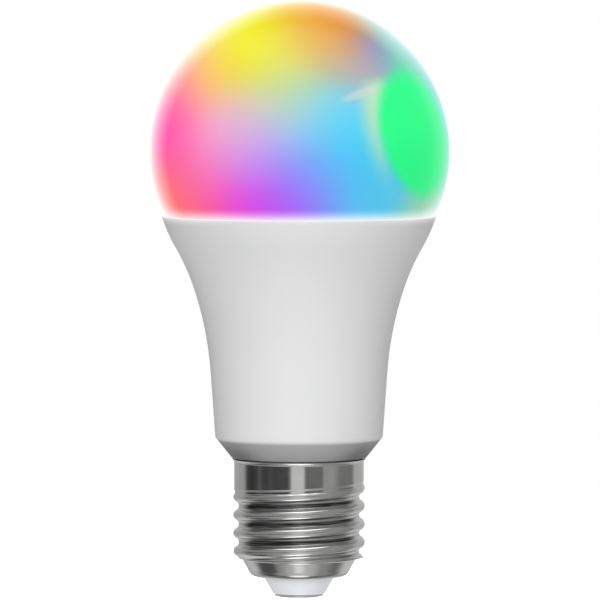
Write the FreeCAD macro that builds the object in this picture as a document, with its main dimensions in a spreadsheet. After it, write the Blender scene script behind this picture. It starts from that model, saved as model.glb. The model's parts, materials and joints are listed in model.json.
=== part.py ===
"""Smart light bulb: an A60 lamp body with an E27 screw cap, an opal dome, a ring of white and colour LEDs,
a mains driver and a radio module. Millimetres, +Z up the lamp's axis from the cap to the dome, origin at the
middle of the centre contact's flat tip.

Every driving dimension is a cell of the Dimensions sheet, and every sub-part is an object of the document
whose sizes are bound to those cells. Each sub-part is written to parts/LABEL.step.
"""

import FreeCAD, Part
import math
import os
import re

import Sketcher
from FreeCAD import Placement, Rotation, Vector

# Alias, value, what it is. Lengths in millimetres, angles in degrees.
DIMENSIONS = [
    # Outer form of the dome and the housing.
    ("dome_radius", 30.0, "outside of the round dome"),
    ("dome_centre", 88.8, "height of the dome's centre"),
    ("dome_wall", 1.2, "opal wall"),
    ("dome_flange", 1.2, "inward flange at the dome's foot"),
    ("base_radius", 16.7, "foot of the tapered body"),
    ("base_height", 32.0, "height of that foot"),
    ("taper_angle", 4.1, "half angle of the tapered body"),
    ("flare_height", 45.0, "where the flare begins"),
    ("flare_lower_radius", 68.0, "lower concave stretch of the flare"),
    ("flare_mid_angle", 18.75, "slope where the two concave stretches meet"),
    ("flare_upper_radius", 44.4, "upper concave stretch"),
    ("flare_top_angle", 29.8, "steepest slope of the flare"),
    ("shoulder_radius", 33.0, "convex stretch under the rim"),
    ("rim_angle", 18.0, "slope at the rim"),
    ("housing_wall", 1.3, "plastic wall"),
    ("chamfer_foot_radius", 13.43, "small end of the housing's conical foot"),
    ("chamfer_foot_height", 27.9, "height of that end"),
    ("base_fillet", 1.0, "rounding between body and conical foot"),
    ("rim_bore", 25.45, "bore of the rim that takes the dome's spigot"),
    ("rim_ledge", 73.8, "floor of the rim's groove"),
    ("housing_floor", 31.0, "inside floor of the housing"),
    ("floor_recess", 14.4, "radius of the recess that the driver sleeve stands in"),
    ("cup_seat", 34.1, "ledge that the heat-sink cup stands on"),
    ("rib_inner", 21.35, "inner edge of the support ribs"),
    ("rib_thickness", 1.2, "thickness of a support rib"),
    ("rib_bottom", 66.0, "foot of a support rib"),
    ("rib_count", 6, "number of support ribs"),
    # Neck that the screw shell is turned onto.
    ("neck_bore", 9.9, "bore of the neck"),
    ("neck_end", 10.6, "lower end of the neck"),
    ("neck_core", 11.35, "neck radius behind the thread"),
    ("neck_step", 21.9, "where the neck widens to fit the shell's skirt"),
    ("neck_fit", 12.5, "neck radius inside the skirt"),
    ("neck_ridge", 12.2, "crest radius of the neck's own thread"),
    ("notch_width", 1.9, "wire notch in the neck's end"),
    ("notch_depth", 2.6, "depth of that notch"),
    # Dome spigot.
    ("spigot_outer", 25.3, "outside of the dome's spigot"),
    ("spigot_inner", 24.3, "inside of the spigot"),
    ("spigot_end", 74.45, "lower end of the spigot"),
    ("bead_height", 75.1, "middle of the snap bead"),
    ("bead_depth", 0.15, "how far the snap bead stands out"),
    ("bead_half", 0.3, "half the bead's height"),
    ("bead_clearance", 0.1, "room around the bead in its groove"),
    ("sealant_inner", 24.1, "inside of the sealant ring"),
    ("sealant_outer", 25.35, "outside of the sealant ring"),
    # Heat-sink cup and LED board.
    ("cup_gap", 0.1, "bond line between housing and cup"),
    ("cup_wall", 0.8, "aluminium wall"),
    ("cup_neck_radius", 19.9, "cup's outside just under its ledge"),
    ("board_seat", 72.4, "top of the ledge that the LED board sits on"),
    ("cup_rim_radius", 24.0, "outside of the cup's raised rim"),
    ("cup_rim_top", 74.2, "top of that rim"),
    ("paste_thickness", 0.2, "thermal paste under the LED board"),
    ("paste_inner", 20.4, "inside of the paste ring"),
    ("paste_outer", 22.9, "outside of the paste ring"),
    ("led_board_radius", 23.05, "LED board"),
    ("led_board_thickness", 1.2, "LED board"),
    ("screw_circle", 21.2, "radius of the board screws' circle"),
    ("screw_hole", 1.15, "screw hole in the LED board"),
    ("screw_shank", 0.97, "screw shank radius"),
    ("screw_thread_hole", 1.0, "threaded hole in the cup's ledge"),
    ("screw_head", 1.65, "screw head radius"),
    ("screw_head_height", 1.1, "screw head height"),
    ("screw_length", 3.6, "screw length under the head"),
    ("slot_length", 16.4, "LED board's slot for the radio module"),
    ("slot_width", 1.6, "width of that slot"),
    ("pin_slot_length", 10.6, "LED board's slot for the header pins"),
    ("pin_slot_width", 1.4, "width of that slot"),
    # LEDs.
    ("white_circle", 17.8, "radius of the ring of white LEDs"),
    ("white_count", 10, "white LEDs of each colour"),
    ("white_pitch_half", 18.0, "angle from a warm LED to the next cool one"),
    ("white_radial", 2.8, "white LED package along the radius"),
    ("white_tangential", 3.5, "white LED package across the radius"),
    ("white_height", 0.7, "white LED package height"),
    ("white_frame", 0.3, "white LED package frame around its lens"),
    ("white_recess", 0.4, "depth of the phosphor"),
    ("colour_circle", 11.6, "radius of the ring of colour LEDs"),
    ("colour_count", 6, "colour LEDs"),
    ("colour_turn", 30.0, "angle of the first colour LED"),
    ("colour_side", 3.5, "colour LED package side"),
    ("colour_height", 1.1, "colour LED package height"),
    ("colour_well", 1.35, "radius of the colour LED's well"),
    ("colour_recess", 0.55, "depth of that well"),
    ("die_side", 0.42, "side of one colour die"),
    ("die_height", 0.15, "height of one colour die"),
    ("die_offset", 0.62, "die centre from the package centre"),
    # Driver.
    ("sleeve_radius", 14.0, "outside of the insulating sleeve"),
    ("sleeve_wall", 0.8, "sleeve wall"),
    ("sleeve_top", 68.6, "top of the sleeve"),
    ("rail_depth", 1.5, "how far a board rail stands in"),
    ("rail_width", 0.9, "width of a board rail"),
    ("rail_gap", 0.1, "room between rail and board"),
    ("driver_thickness", 1.2, "driver board"),
    ("driver_half_width", 12.4, "half the width of the driver board's upper part"),
    ("driver_top", 66.0, "top of the driver board"),
    ("tongue_half_width", 8.8, "half the width of the tongue in the neck"),
    ("tongue_bottom", 13.0, "lower end of the tongue"),
    ("bulk_radius", 4.0, "mains smoothing capacitor"),
    ("bulk_length", 13.6, "its can"),
    ("bulk_across", -7.4, "its place across the board"),
    ("bulk_bottom", 33.6, "its lower end"),
    ("output_radius", 3.15, "output capacitor"),
    ("output_length", 10.6, "its can"),
    ("output_across", 7.0, "its place across the board"),
    ("output_bottom", 36.4, "its lower end"),
    ("can_crimp", 0.3, "depth of the crimp in a capacitor can"),
    ("crimp_level", 2.0, "crimp above the can's lower end"),
    ("crimp_reach", 0.5, "crimp either side of its middle"),
    ("can_shoulder", 0.6, "rounding of a can's closed end, and its sheet at the open end"),
    ("bung_recess", 0.2, "bung's face up inside the can's rim"),
    ("bung_top", 1.6, "bung's inner end"),
    ("bung_gap", 0.02, "bung to the can"),
    ("bulk_lead", 1.75, "lead from the mains capacitor's axis"),
    ("output_lead", 1.25, "lead from the output capacitor's axis"),
    ("choke_lead", 1.6, "lead from the choke's axis"),
    ("film_lead", 2.5, "lead from the film capacitor's middle"),
    ("varistor_lead", 0.9, "lead from the varistor's middle"),
    ("can_seat", 0.12, "room between a can and the board"),
    ("core_width", 11.0, "transformer core across the board"),
    ("core_height", 10.2, "transformer core up the board"),
    ("core_depth", 5.0, "transformer core out from the board"),
    ("core_window", 2.4, "width of each winding window"),
    ("core_window_height", 6.2, "height of each window"),
    ("core_leg", 2.6, "width of the middle leg"),
    ("core_across", 2.95, "its place across the board"),
    ("core_middle", 42.0, "its height"),
    ("core_standoff", 2.3, "core's near face above the board"),
    ("bobbin_wall", 0.5, "bobbin wall and flanges"),
    ("bobbin_depth", 8.2, "bobbin flange out from the board"),
    ("coil_build", 1.5, "thickness of the winding"),
    ("choke_radius", 3.0, "filter choke"),
    ("choke_core", 1.3, "choke's waist"),
    ("choke_flange", 0.9, "choke's end flanges"),
    ("choke_height", 8.0, "choke height"),
    ("choke_across", -4.2, "its place across the tongue"),
    ("choke_bottom", 20.4, "its lower end"),
    ("fuse_radius", 1.55, "fusible resistor"),
    ("fuse_length", 8.6, "its body"),
    ("fuse_across", 3.6, "its place across the tongue"),
    ("fuse_bottom", 20.2, "its lower end"),
    ("varistor_radius", 3.4, "varistor disc"),
    ("varistor_thickness", 3.0, "varistor disc"),
    ("varistor_across", -3.9, "its place across the tongue"),
    ("varistor_height", 25.2, "its height"),
    ("film_width", 7.0, "film capacitor across the tongue"),
    ("film_depth", 4.2, "film capacitor out from the board"),
    ("film_height", 9.6, "film capacitor up the board"),
    ("film_left", 0.6, "its edge nearest the axis"),
    ("film_bottom", 19.6, "its lower end"),
    ("lead_radius", 0.3, "component lead"),
    ("chip_standoff", 0.1, "room under a chip"),
    ("bridge_width", 4.7, "rectifier bridge across the board"),
    ("bridge_height", 3.9, "rectifier bridge up the board"),
    ("bridge_thickness", 1.5, "rectifier bridge"),
    ("chip_width", 3.9, "driver chips across the board"),
    ("chip_height", 4.9, "driver chips up the board"),
    ("chip_thickness", 1.4, "driver chips"),
    ("chip_column", -5.2, "place of the chips across the board"),
    ("bridge_middle", 36.6, "height of the bridge"),
    ("supply_chip_middle", 45.0, "height of the supply chip"),
    ("dimmer_chip_middle", 54.4, "height of the LED dimmer chip"),
    ("chip_pitch", 1.27, "pitch of a chip's legs"),
    ("leg_width", 0.4, "chip leg"),
    ("leg_reach", 1.0, "how far a leg stands out"),
    ("leg_thickness", 0.2, "chip leg"),
    ("resistor_length", 2.0, "surface-mount resistor"),
    ("resistor_width", 1.25, "surface-mount resistor"),
    ("resistor_thickness", 0.5, "surface-mount resistor"),
    ("capacitor_thickness", 0.9, "surface-mount capacitor"),
    ("resistor_pitch", 2.4, "spacing of the rows of resistors"),
    ("resistor_column", 0.9, "place of the resistors across the board"),
    ("resistor_first", 40.0, "height of the first resistor"),
    ("capacitor_column", 5.6, "place of the capacitors across the board"),
    ("capacitor_first", 50.4, "height of the first capacitor"),
    # Header between the two boards.
    ("pin_side", 0.64, "header pin"),
    ("pin_pitch", 2.0, "header pin pitch"),
    ("pin_count", 5, "header pins"),
    ("pin_plane", -2.4, "place of the pins in front of the driver board"),
    ("pin_bottom", 59.6, "lower end of the pins"),
    ("pin_top", 76.4, "upper end of the pins"),
    ("pin_room", 0.08, "room around a pin in its socket"),
    ("header_length", 11.0, "header body"),
    ("header_bottom", 61.6, "header body's lower face"),
    ("header_height", 2.5, "header body's height"),
    ("header_depth", 3.2, "header body out from the board"),
    ("socket_length", 12.0, "socket body"),
    ("socket_width", 3.8, "socket body"),
    ("socket_height", 3.2, "socket body"),
    # Radio module.
    ("module_plane", 3.2, "place of the module behind the driver board"),
    ("module_thickness", 0.8, "module board"),
    ("module_width", 15.6, "module board"),
    ("module_bottom", 52.2, "lower edge of the module board"),
    ("module_top", 82.4, "upper edge, inside the dome"),
    ("shield_width", 11.6, "shield can"),
    ("shield_height", 11.0, "shield can"),
    ("shield_thickness", 1.9, "shield can"),
    ("shield_wall", 0.2, "shield can's sheet"),
    ("shield_bottom", 57.4, "shield can's lower edge"),
    ("radio_chip_side", 5.0, "radio chip"),
    ("radio_chip_thickness", 0.85, "radio chip"),
    ("trace_width", 0.6, "antenna trace"),
    ("trace_thickness", 0.08, "antenna trace"),
    ("trace_half", 6.6, "half the width of the antenna"),
    ("trace_bottom", 75.6, "lower edge of the antenna"),
    ("trace_rise", 5.0, "height of the antenna's meander"),
    ("strip_height", 2.0, "module's pin strip"),
    ("strip_bottom", 52.6, "lower face of that strip"),
    # Lead wires.
    ("wire_radius", 0.6, "insulated lead wire"),
    ("wire_bend", 3.0, "bend of a lead wire"),
    ("live_start", 17.4, "upper end of the live wire"),
    ("live_bend_top", 11.9, "height of the live wire's first corner"),
    ("live_bend_bottom", 8.6, "height of its second corner"),
    ("live_end", 6.7, "lower end, on the contact's shank"),
    ("neutral_across", 6.3, "place of the neutral wire on the tongue"),
    ("neutral_start", 17.4, "upper end of the neutral wire"),
    ("neutral_corner", 10.2, "height of its corner"),
    ("neutral_end_across", 10.4, "its end, by the screw shell"),
    ("neutral_end_height", 7.5, "height of that end"),
    ("solder_radius", 0.8, "solder joint"),
    ("solder_height", 0.6, "solder joint"),
    # Screw cap, to the E27 form.
    ("cap_radius", 13.1, "thread crest"),
    ("skirt_radius", 12.93, "plain skirt above the thread"),
    ("skirt_bottom", 21.3, "lower end of the skirt"),
    ("cap_top", 27.5, "top edge of the skirt"),
    ("lip_radius", 13.3, "flared top edge"),
    ("lip_height", 0.9, "height of the flare"),
    ("shell_wall", 0.35, "plated sheet"),
    ("thread_pitch", 3.629, "seven turns to the inch"),
    ("thread_root", 12.0, "thread root radius"),
    ("thread_first_root", 5.511, "height of the first root at the start plane"),
    ("thread_turns", 4, "turns of full depth"),
    ("thread_land", 0.05, "crest flat's depth below the full crest arc"),
    ("runout_angle", 33.5, "slope at which the thread runs out"),
    ("thread_bottom", 8.0, "plane that cuts the thread off"),
    ("cone_top_radius", 11.4, "top of the shell's lower cone"),
    ("cone_top_height", 7.65, "height of that top"),
    ("cone_bottom_radius", 10.2, "bottom of the cone"),
    ("cone_bottom_height", 5.5, "height of that bottom"),
    ("shell_turn_radius", 1.9, "rounding into the shell's floor"),
    ("shell_floor_radius", 8.6, "where the rounding meets the floor"),
    ("shell_floor", 4.15, "underside of the shell"),
    ("shell_hole", 7.1, "hole that the insulator stands through"),
    ("insulator_top_radius", 7.05, "insulator at the shell"),
    ("insulator_bottom_radius", 5.05, "insulator at the contact"),
    ("insulator_bottom", 0.7, "lower face of the insulator"),
    ("insulator_flange", 8.2, "insulator's flange inside the shell"),
    ("insulator_flange_top", 6.0, "top of that flange"),
    ("insulator_edge", 0.35, "rounding of the insulator's lower edge"),
    ("contact_radius", 4.85, "centre contact"),
    ("contact_flat", 3.0, "flat tip of the contact"),
    ("contact_crown", 0.28, "height of the crown around the tip"),
    ("contact_seat", 0.7, "upper face of the contact's head"),
    ("contact_edge", 0.55, "upper edge of the contact's rim"),
    ("contact_seat_radius", 4.3, "where that face meets the insulator"),
    ("shank_radius", 1.4, "contact's shank"),
    ("shank_top", 6.6, "top of the shank"),
    ("shank_gap", 0.03, "fit of the shank in the insulator"),
]

DOC = FreeCAD.newDocument("smart_light_bulb")
SHEET = DOC.addObject("Spreadsheet::Sheet", "Dimensions")
NAMES = {alias for alias, _, _ in DIMENSIONS}
WORD = re.compile(r"[a-z_][a-z0-9_]*")
SUB_PARTS = []

for row, (alias, number, note) in enumerate(DIMENSIONS, start=1):
    SHEET.set(f"A{row}", note)
    SHEET.set(f"B{row}", str(number))
    SHEET.setAlias(f"B{row}", alias)
DOC.recompute()


# ---------------------------------------------------------------- expressions


def cells(text):
    """An expression in the sheet's words, such as "dome_radius - dome_wall", with each word made a cell."""
    return WORD.sub(lambda m: f"Dimensions.{m[0]}" if m[0] in NAMES else m[0], text)


def value(text):
    """What such an expression comes to now."""
    found = SHEET.evalExpression(cells(text))
    return float(getattr(found, "Value", found))


def bind(thing, prop, text):
    thing.setExpression(prop, cells(text))


def place(thing, x="0", y="0", z="0"):
    """Binds where a sub-part stands."""
    for axis, text in zip("xyz", (x, y, z)):
        if text != "0":
            bind(thing, f"Placement.Base.{axis}", text)
    return thing


# ------------------------------------------------------------ sketches, bodies


def new_body(label):
    body = DOC.addObject("PartDesign::Body", label)
    body.Label = label
    body.AllowCompound = True
    SUB_PARTS.append(body)
    return body


def origin_of(body, role):
    return next(o for o in body.Origin.OriginFeatures if o.Role == role)


def new_sketch(body, name, plane="XZ_Plane", lift="0"):
    """A sketch on one of the body's origin planes, or lifted off it along the plane's normal."""
    sketch = body.newObject("Sketcher::SketchObject", name)
    sketch.AttachmentSupport = [(origin_of(body, plane), "")]
    sketch.MapMode = "FlatFace"
    if lift != "0":
        bind(sketch, "AttachmentOffset.Base.z", lift)
    return sketch


def hold(sketch, kind, geometry, position, text):
    """Holds one coordinate of a point at an expression. On an axis it is a point-on-axis constraint."""
    if text == "0":
        axis = -2 if kind == "DistanceX" else -1
        sketch.addConstraint(Sketcher.Constraint("PointOnObject", geometry, position, axis))
        return
    index = sketch.addConstraint(Sketcher.Constraint(kind, -1, 1, geometry, position, value(text)))
    bind(sketch, f"Constraints[{index}]", text)


def arc_between(start, end, radius, turn):
    """The short arc from start to end; turn is 1 for counter-clockwise and -1 for clockwise."""
    chord = end - start
    height = math.sqrt(max(radius**2 - chord.Length**2 / 4, 0.0))
    across = Vector(-chord.y, chord.x, 0).normalize()
    centre = (start + end) * 0.5 + across * height * turn
    first, last = (start, end) if turn > 0 else (end, start)
    angles = [math.atan2(p.y - centre.y, p.x - centre.x) for p in (first, last)]
    return Part.ArcOfCircle(Part.Circle(centre, Vector(0, 0, 1), radius), *angles)


def outline(sketch, corners, closed=True):
    """Draws a chain of lines and arcs through corners, each bound to the sheet.

    A corner is (x, y), or (x, y, radius, turn) where an arc ends.
    """
    points = [Vector(value(c[0]), value(c[1]), 0) for c in corners]
    made = []
    for i in range(len(corners) if closed else len(corners) - 1):
        j = (i + 1) % len(corners)
        if len(corners[j]) == 4:
            radius, turn = corners[j][2:]
            curve = arc_between(points[i], points[j], value(radius), turn)
            index = sketch.addGeometry(curve, False)
            made.append((index, 1, 2) if turn > 0 else (index, 2, 1))
            held = sketch.addConstraint(Sketcher.Constraint("Radius", index, value(radius)))
            bind(sketch, f"Constraints[{held}]", radius)
        else:
            index = sketch.addGeometry(Part.LineSegment(points[i], points[j]), False)
            made.append((index, 1, 2))
    for i, (index, start, _) in enumerate(made):
        before, _, end = made[i - 1]
        if closed or i > 0:
            sketch.addConstraint(Sketcher.Constraint("Coincident", before, end, index, start))
        hold(sketch, "DistanceX", index, start, corners[i][0])
        hold(sketch, "DistanceY", index, start, corners[i][1])
    if not closed:
        index, _, end = made[-1]
        hold(sketch, "DistanceX", index, end, corners[-1][0])
        hold(sketch, "DistanceY", index, end, corners[-1][1])


def rectangle(sketch, left, bottom, right, top):
    outline(sketch, [(left, bottom), (right, bottom), (right, top), (left, top)])


def centred_rectangle(sketch, x, y, width, height):
    rectangle(
        sketch,
        f"({x}) - ({width}) / 2",
        f"({y}) - ({height}) / 2",
        f"({x}) + ({width}) / 2",
        f"({y}) + ({height}) / 2",
    )


def circle(sketch, x, y, radius):
    centre = Vector(value(x), value(y), 0)
    index = sketch.addGeometry(Part.Circle(centre, Vector(0, 0, 1), value(radius)), False)
    held = sketch.addConstraint(Sketcher.Constraint("Radius", index, value(radius)))
    bind(sketch, f"Constraints[{held}]", radius)
    hold(sketch, "DistanceX", index, 3, x)
    hold(sketch, "DistanceY", index, 3, y)


def volume(body):
    return body.Tip.Shape.Volume if body.Tip else 0.0


def settle(body, feature, grows):
    """Recomputes, and stops if a feature added or cut nothing, which shows no error of its own."""
    before = volume(body) if body.Tip is not feature else 0.0
    body.Tip = feature
    DOC.recompute()
    after = feature.Shape.Volume
    if (after <= before) if grows else (after >= before):
        raise RuntimeError(f"{body.Label}.{feature.Name} changed nothing: {before} to {after}")
    return feature


def add_feature(body, kind, name, profile):
    """A sketch-based feature. The body's tip is kept until it is settled, so that volumes can be compared."""
    tip = body.Tip
    feature = body.newObject(kind, name)
    feature.Profile = profile
    body.Tip = tip
    return feature


def revolve(body, name, corners):
    """A full turn of a closed outline (radius, height) about the body's Z axis."""
    sketch = new_sketch(body, f"{name}_outline")
    outline(sketch, corners)
    feature = add_feature(body, "PartDesign::Revolution", name, sketch)
    feature.ReferenceAxis = (sketch, ["V_Axis"])
    feature.Angle = 360.0
    return settle(body, feature, grows=True)


def hollow(body, name, corners):
    """Turns a closed outline (radius, height) out of the body."""
    sketch = new_sketch(body, f"{name}_outline")
    outline(sketch, corners)
    feature = add_feature(body, "PartDesign::Groove", name, sketch)
    feature.ReferenceAxis = (sketch, ["V_Axis"])
    feature.Angle = 360.0
    return settle(body, feature, grows=False)


def pad(body, name, sketch, length, both_ways=False, reverse=False):
    feature = add_feature(body, "PartDesign::Pad", name, sketch)
    bind(feature, "Length", length)
    feature.Midplane = both_ways
    feature.Reversed = reverse
    return settle(body, feature, grows=True)


def pocket(body, name, sketch, length, both_ways=False, reverse=False):
    feature = add_feature(body, "PartDesign::Pocket", name, sketch)
    bind(feature, "Length", length)
    feature.Midplane = both_ways
    feature.Reversed = reverse
    return settle(body, feature, grows=False)


def screw_thread(body, kind, name, corners, start, turns, cone="0"):
    """Sweeps a closed outline (radius, height about the start) along a helix about the body's Z axis."""
    sketch = new_sketch(body, f"{name}_outline")
    outline(sketch, corners)
    bind(sketch, "AttachmentOffset.Base.y", start)
    feature = add_feature(body, f"PartDesign::{kind}Helix", name, sketch)
    feature.ReferenceAxis = (sketch, ["V_Axis"])
    feature.Mode = "pitch-height-angle"
    bind(feature, "Pitch", "thread_pitch")
    bind(feature, "Height", f"thread_pitch * {turns}")
    if cone != "0":
        bind(feature, "Angle", cone)
    return settle(body, feature, grows=kind == "Additive")


def round_edges(body, name, radius, wanted):
    """Fillets the edges of the tip that wanted(edge) picks."""
    shape = body.Tip.Shape
    picked = [f"Edge{i}" for i, edge in enumerate(shape.Edges, start=1) if wanted(edge)]
    base = body.Tip
    feature = body.newObject("PartDesign::Fillet", name)
    feature.Base = (base, picked)
    bind(feature, "Radius", radius)
    body.Tip = feature
    DOC.recompute()
    if not picked or abs(feature.Shape.Volume - base.Shape.Volume) < 1e-9:
        raise RuntimeError(f"{body.Label}.{name} rounds nothing")
    return feature


def ring_edge(radius, height, tolerance=0.02):
    """Picks the round edge of that radius about the axis at that height."""

    def wanted(edge):
        box = edge.BoundBox
        flat = box.ZLength < tolerance and abs(box.ZMax - value(height)) < tolerance
        return flat and abs(box.XLength / 2 - value(radius)) < tolerance

    return wanted


def upright(edge):
    """Picks the edges that run along the body's Z axis."""
    return edge.BoundBox.XLength < 1e-4 and edge.BoundBox.YLength < 1e-4


def around(body, name, originals, count, angle="360"):
    """Repeats features around the body's Z axis."""
    feature = body.newObject("PartDesign::PolarPattern", name)
    feature.Originals = originals
    feature.Axis = (origin_of(body, "Z_Axis"), [""])
    bind(feature, "Angle", angle)
    bind(feature, "Occurrences", count)
    body.Tip = feature
    DOC.recompute()
    return feature


def along(body, name, originals, axis, length, count):
    """Repeats features along one of the body's axes, over a whole length."""
    feature = body.newObject("PartDesign::LinearPattern", name)
    feature.Originals = originals
    feature.Direction = (origin_of(body, axis), [""])
    bind(feature, "Length", length)
    bind(feature, "Occurrences", count)
    body.Tip = feature
    DOC.recompute()
    return feature


# ------------------------------------------------------------ Part primitives


def box(name, size, corner):
    """A Part::Box from its size and its lowest corner, as expressions."""
    made = DOC.addObject("Part::Box", name)
    for prop, text in zip(("Length", "Width", "Height"), size):
        bind(made, prop, text)
    return place(made, *corner)


def cylinder(name, radius, height, base, turn=None):
    """A Part::Cylinder; turn is the rotation from +Z to its axis."""
    made = DOC.addObject("Part::Cylinder", name)
    bind(made, "Radius", radius)
    bind(made, "Height", height)
    if turn is not None:
        made.Placement = Placement(Vector(), turn)
    return place(made, *base)


def combine(kind, name, first, second):
    made = DOC.addObject(f"Part::{kind}", name)
    made.Base = first
    made.Tool = second
    return made


def group(label, members):
    """One sub-part made of several separate solids."""
    made = DOC.addObject("Part::Compound", label)
    made.Links = members
    made.Label = label
    SUB_PARTS.append(made)
    return made


def single(thing, label):
    """Makes a Part object a sub-part of its own."""
    thing.Label = label
    SUB_PARTS.append(thing)
    return thing


def softened(label, base, radius, wanted=None):
    """A Part::Fillet over a Part object's edges."""
    DOC.recompute()
    made = DOC.addObject("Part::Fillet", label)
    made.Base = base
    size = value(radius)
    edges = enumerate(base.Shape.Edges, start=1)
    made.Edges = [(i, size, size) for i, edge in edges if wanted is None or wanted(edge)]
    return made


# ------------------------------------------------------- the flare's geometry


def flare(inset):
    """Corners of the flared wall from its foot to its rim, moved in towards the axis by inset.

    The wall is a taper and then three arcs that meet in line, so an inset wall keeps the arcs' centres.
    """
    start = ("base_radius + (flare_height - base_height) * tan(taper_angle)", "flare_height")
    joints = [(start, "taper_angle")]
    steps = [
        ("flare_lower_radius", "taper_angle", "flare_mid_angle", 1),
        ("flare_upper_radius", "flare_mid_angle", "flare_top_angle", 1),
        ("shoulder_radius", "flare_top_angle", "rim_angle", -1),
    ]
    for radius, old, new, side in steps:
        (r, z), _ = joints[-1]
        out = f"{r} + {side} * {radius} * (cos({old}) - cos({new}))"
        up = f"{z} + {side} * {radius} * (sin({new}) - sin({old}))"
        joints.append(((out, up), new))
    moved = []
    for (r, z), angle in joints:
        moved.append((f"{r} - ({inset}) * cos({angle})", f"{z} + ({inset}) * sin({angle})"))
    return moved


def taper_radius(inset, height):
    """Radius of the inset tapered wall at a height below the flare."""
    r, z = flare(inset)[0]
    return f"{r} - ({z} - ({height})) * tan(taper_angle)"


def shoulder_at(inset, height):
    """Radius of the inset convex stretch at a height."""
    r, z = flare("0")[2]
    middle_r = f"({r} - shoulder_radius * cos(flare_top_angle))"
    middle_z = f"({z} + shoulder_radius * sin(flare_top_angle))"
    return f"{middle_r} + sqrt((shoulder_radius - ({inset}))^2 - ({middle_z} - ({height}))^2)"


RIM_RADIUS, RIM_HEIGHT = flare("0")[3]


# ---------------------------------------------------------- dome and housing


def diffuser_dome():
    """Opal dome: a round shell whose foot has a flange and a spigot with a snap bead."""
    body = new_body("diffuser_dome")
    drop = f"(dome_centre - ({RIM_HEIGHT}))"
    flange_top = f"{RIM_HEIGHT} + dome_flange"
    inner = "(dome_radius - dome_wall)"
    inner_drop = f"(dome_centre - ({flange_top}))"
    revolve(
        body,
        "shell",
        [
            ("0", "dome_centre + dome_radius"),
            (f"sqrt(dome_radius^2 - {drop}^2)", RIM_HEIGHT, "dome_radius", -1),
            ("spigot_outer", RIM_HEIGHT),
            ("spigot_outer", "bead_height + bead_half"),
            ("spigot_outer + bead_depth", "bead_height"),
            ("spigot_outer", "bead_height - bead_half"),
            ("spigot_outer", "spigot_end"),
            ("spigot_inner", "spigot_end"),
            ("spigot_inner", flange_top),
            (f"sqrt({inner}^2 - {inner_drop}^2)", flange_top),
            ("0", f"dome_centre + {inner}", inner, 1),
        ],
    )


def dome_sealant():
    """Ring of silicone that bonds the spigot into the rim's groove."""
    body = new_body("dome_sealant")
    revolve(
        body,
        "bead",
        [
            ("sealant_inner", "rim_ledge"),
            ("sealant_outer", "rim_ledge"),
            ("sealant_outer", "spigot_end"),
            ("sealant_inner", "spigot_end"),
        ],
    )


def housing_shell():
    """Plastic housing: flared wall, conical foot, and the threaded neck that carries the cap."""
    body = new_body("housing_shell")
    outside = flare("0")
    inside = flare("housing_wall")
    groove = "bead_half + bead_clearance"
    revolve(
        body,
        "wall",
        [
            ("neck_bore", "neck_end"),
            ("neck_core - 0.4", "neck_end"),
            ("neck_core", "neck_end + 0.4"),
            ("neck_core", "neck_step"),
            ("neck_fit", "neck_step + 0.6"),
            ("neck_fit", "chamfer_foot_height"),
            ("chamfer_foot_radius", "chamfer_foot_height"),
            ("base_radius", "base_height"),
            outside[0],
            (*outside[1], "flare_lower_radius", -1),
            (*outside[2], "flare_upper_radius", -1),
            (*outside[3], "shoulder_radius", 1),
            ("rim_bore", RIM_HEIGHT),
            ("rim_bore", f"bead_height + {groove}"),
            ("rim_bore + bead_depth", "bead_height"),
            ("rim_bore", f"bead_height - ({groove})"),
            ("rim_bore", "rim_ledge"),
            (shoulder_at("housing_wall", "rim_ledge"), "rim_ledge"),
            (*inside[2], "shoulder_radius - housing_wall", -1),
            (*inside[1], "flare_upper_radius + housing_wall", 1),
            (*inside[0], "flare_lower_radius + housing_wall", 1),
            (taper_radius("housing_wall", "cup_seat"), "cup_seat"),
            ("floor_recess", "cup_seat"),
            ("floor_recess", "housing_floor"),
            ("neck_bore", "housing_floor"),
        ],
    )
    round_edges(body, "foot_rounding", "base_fillet", ring_edge("base_radius", "base_height"))
    rib_top = "board_seat - cup_wall - cup_gap"
    rib = new_sketch(body, "rib_outline")
    outline(
        rib,
        [
            ("rib_inner", "rib_bottom"),
            ("rib_inner + 1.0", "rib_bottom"),
            (f"{shoulder_at('housing_wall', rib_top)} + 0.5", rib_top),
            ("rib_inner", rib_top),
        ],
    )
    first = pad(body, "rib", rib, "rib_thickness", both_ways=True)
    around(body, "ribs", [first], "rib_count")
    notch = new_sketch(body, "notch_outline", "XY_Plane", "neck_end")
    notch_low, notch_high = "pin_plane / 2 - notch_width / 2", "pin_plane / 2 + notch_width / 2"
    rectangle(notch, "neck_bore - 1", notch_low, "neck_ridge", notch_high)
    pocket(body, "wire_notch", notch, "notch_depth", reverse=True)
    screw_thread(
        body,
        "Additive",
        "neck_thread",
        [
            ("neck_core - 0.3", "-1.0"),
            ("neck_core", "-0.9"),
            ("neck_ridge", "-0.35"),
            ("neck_ridge", "0.35"),
            ("neck_core", "0.9"),
            ("neck_core - 0.3", "1.0"),
        ],
        "thread_first_root + 2.5 * thread_pitch",
        "1",
    )


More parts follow.
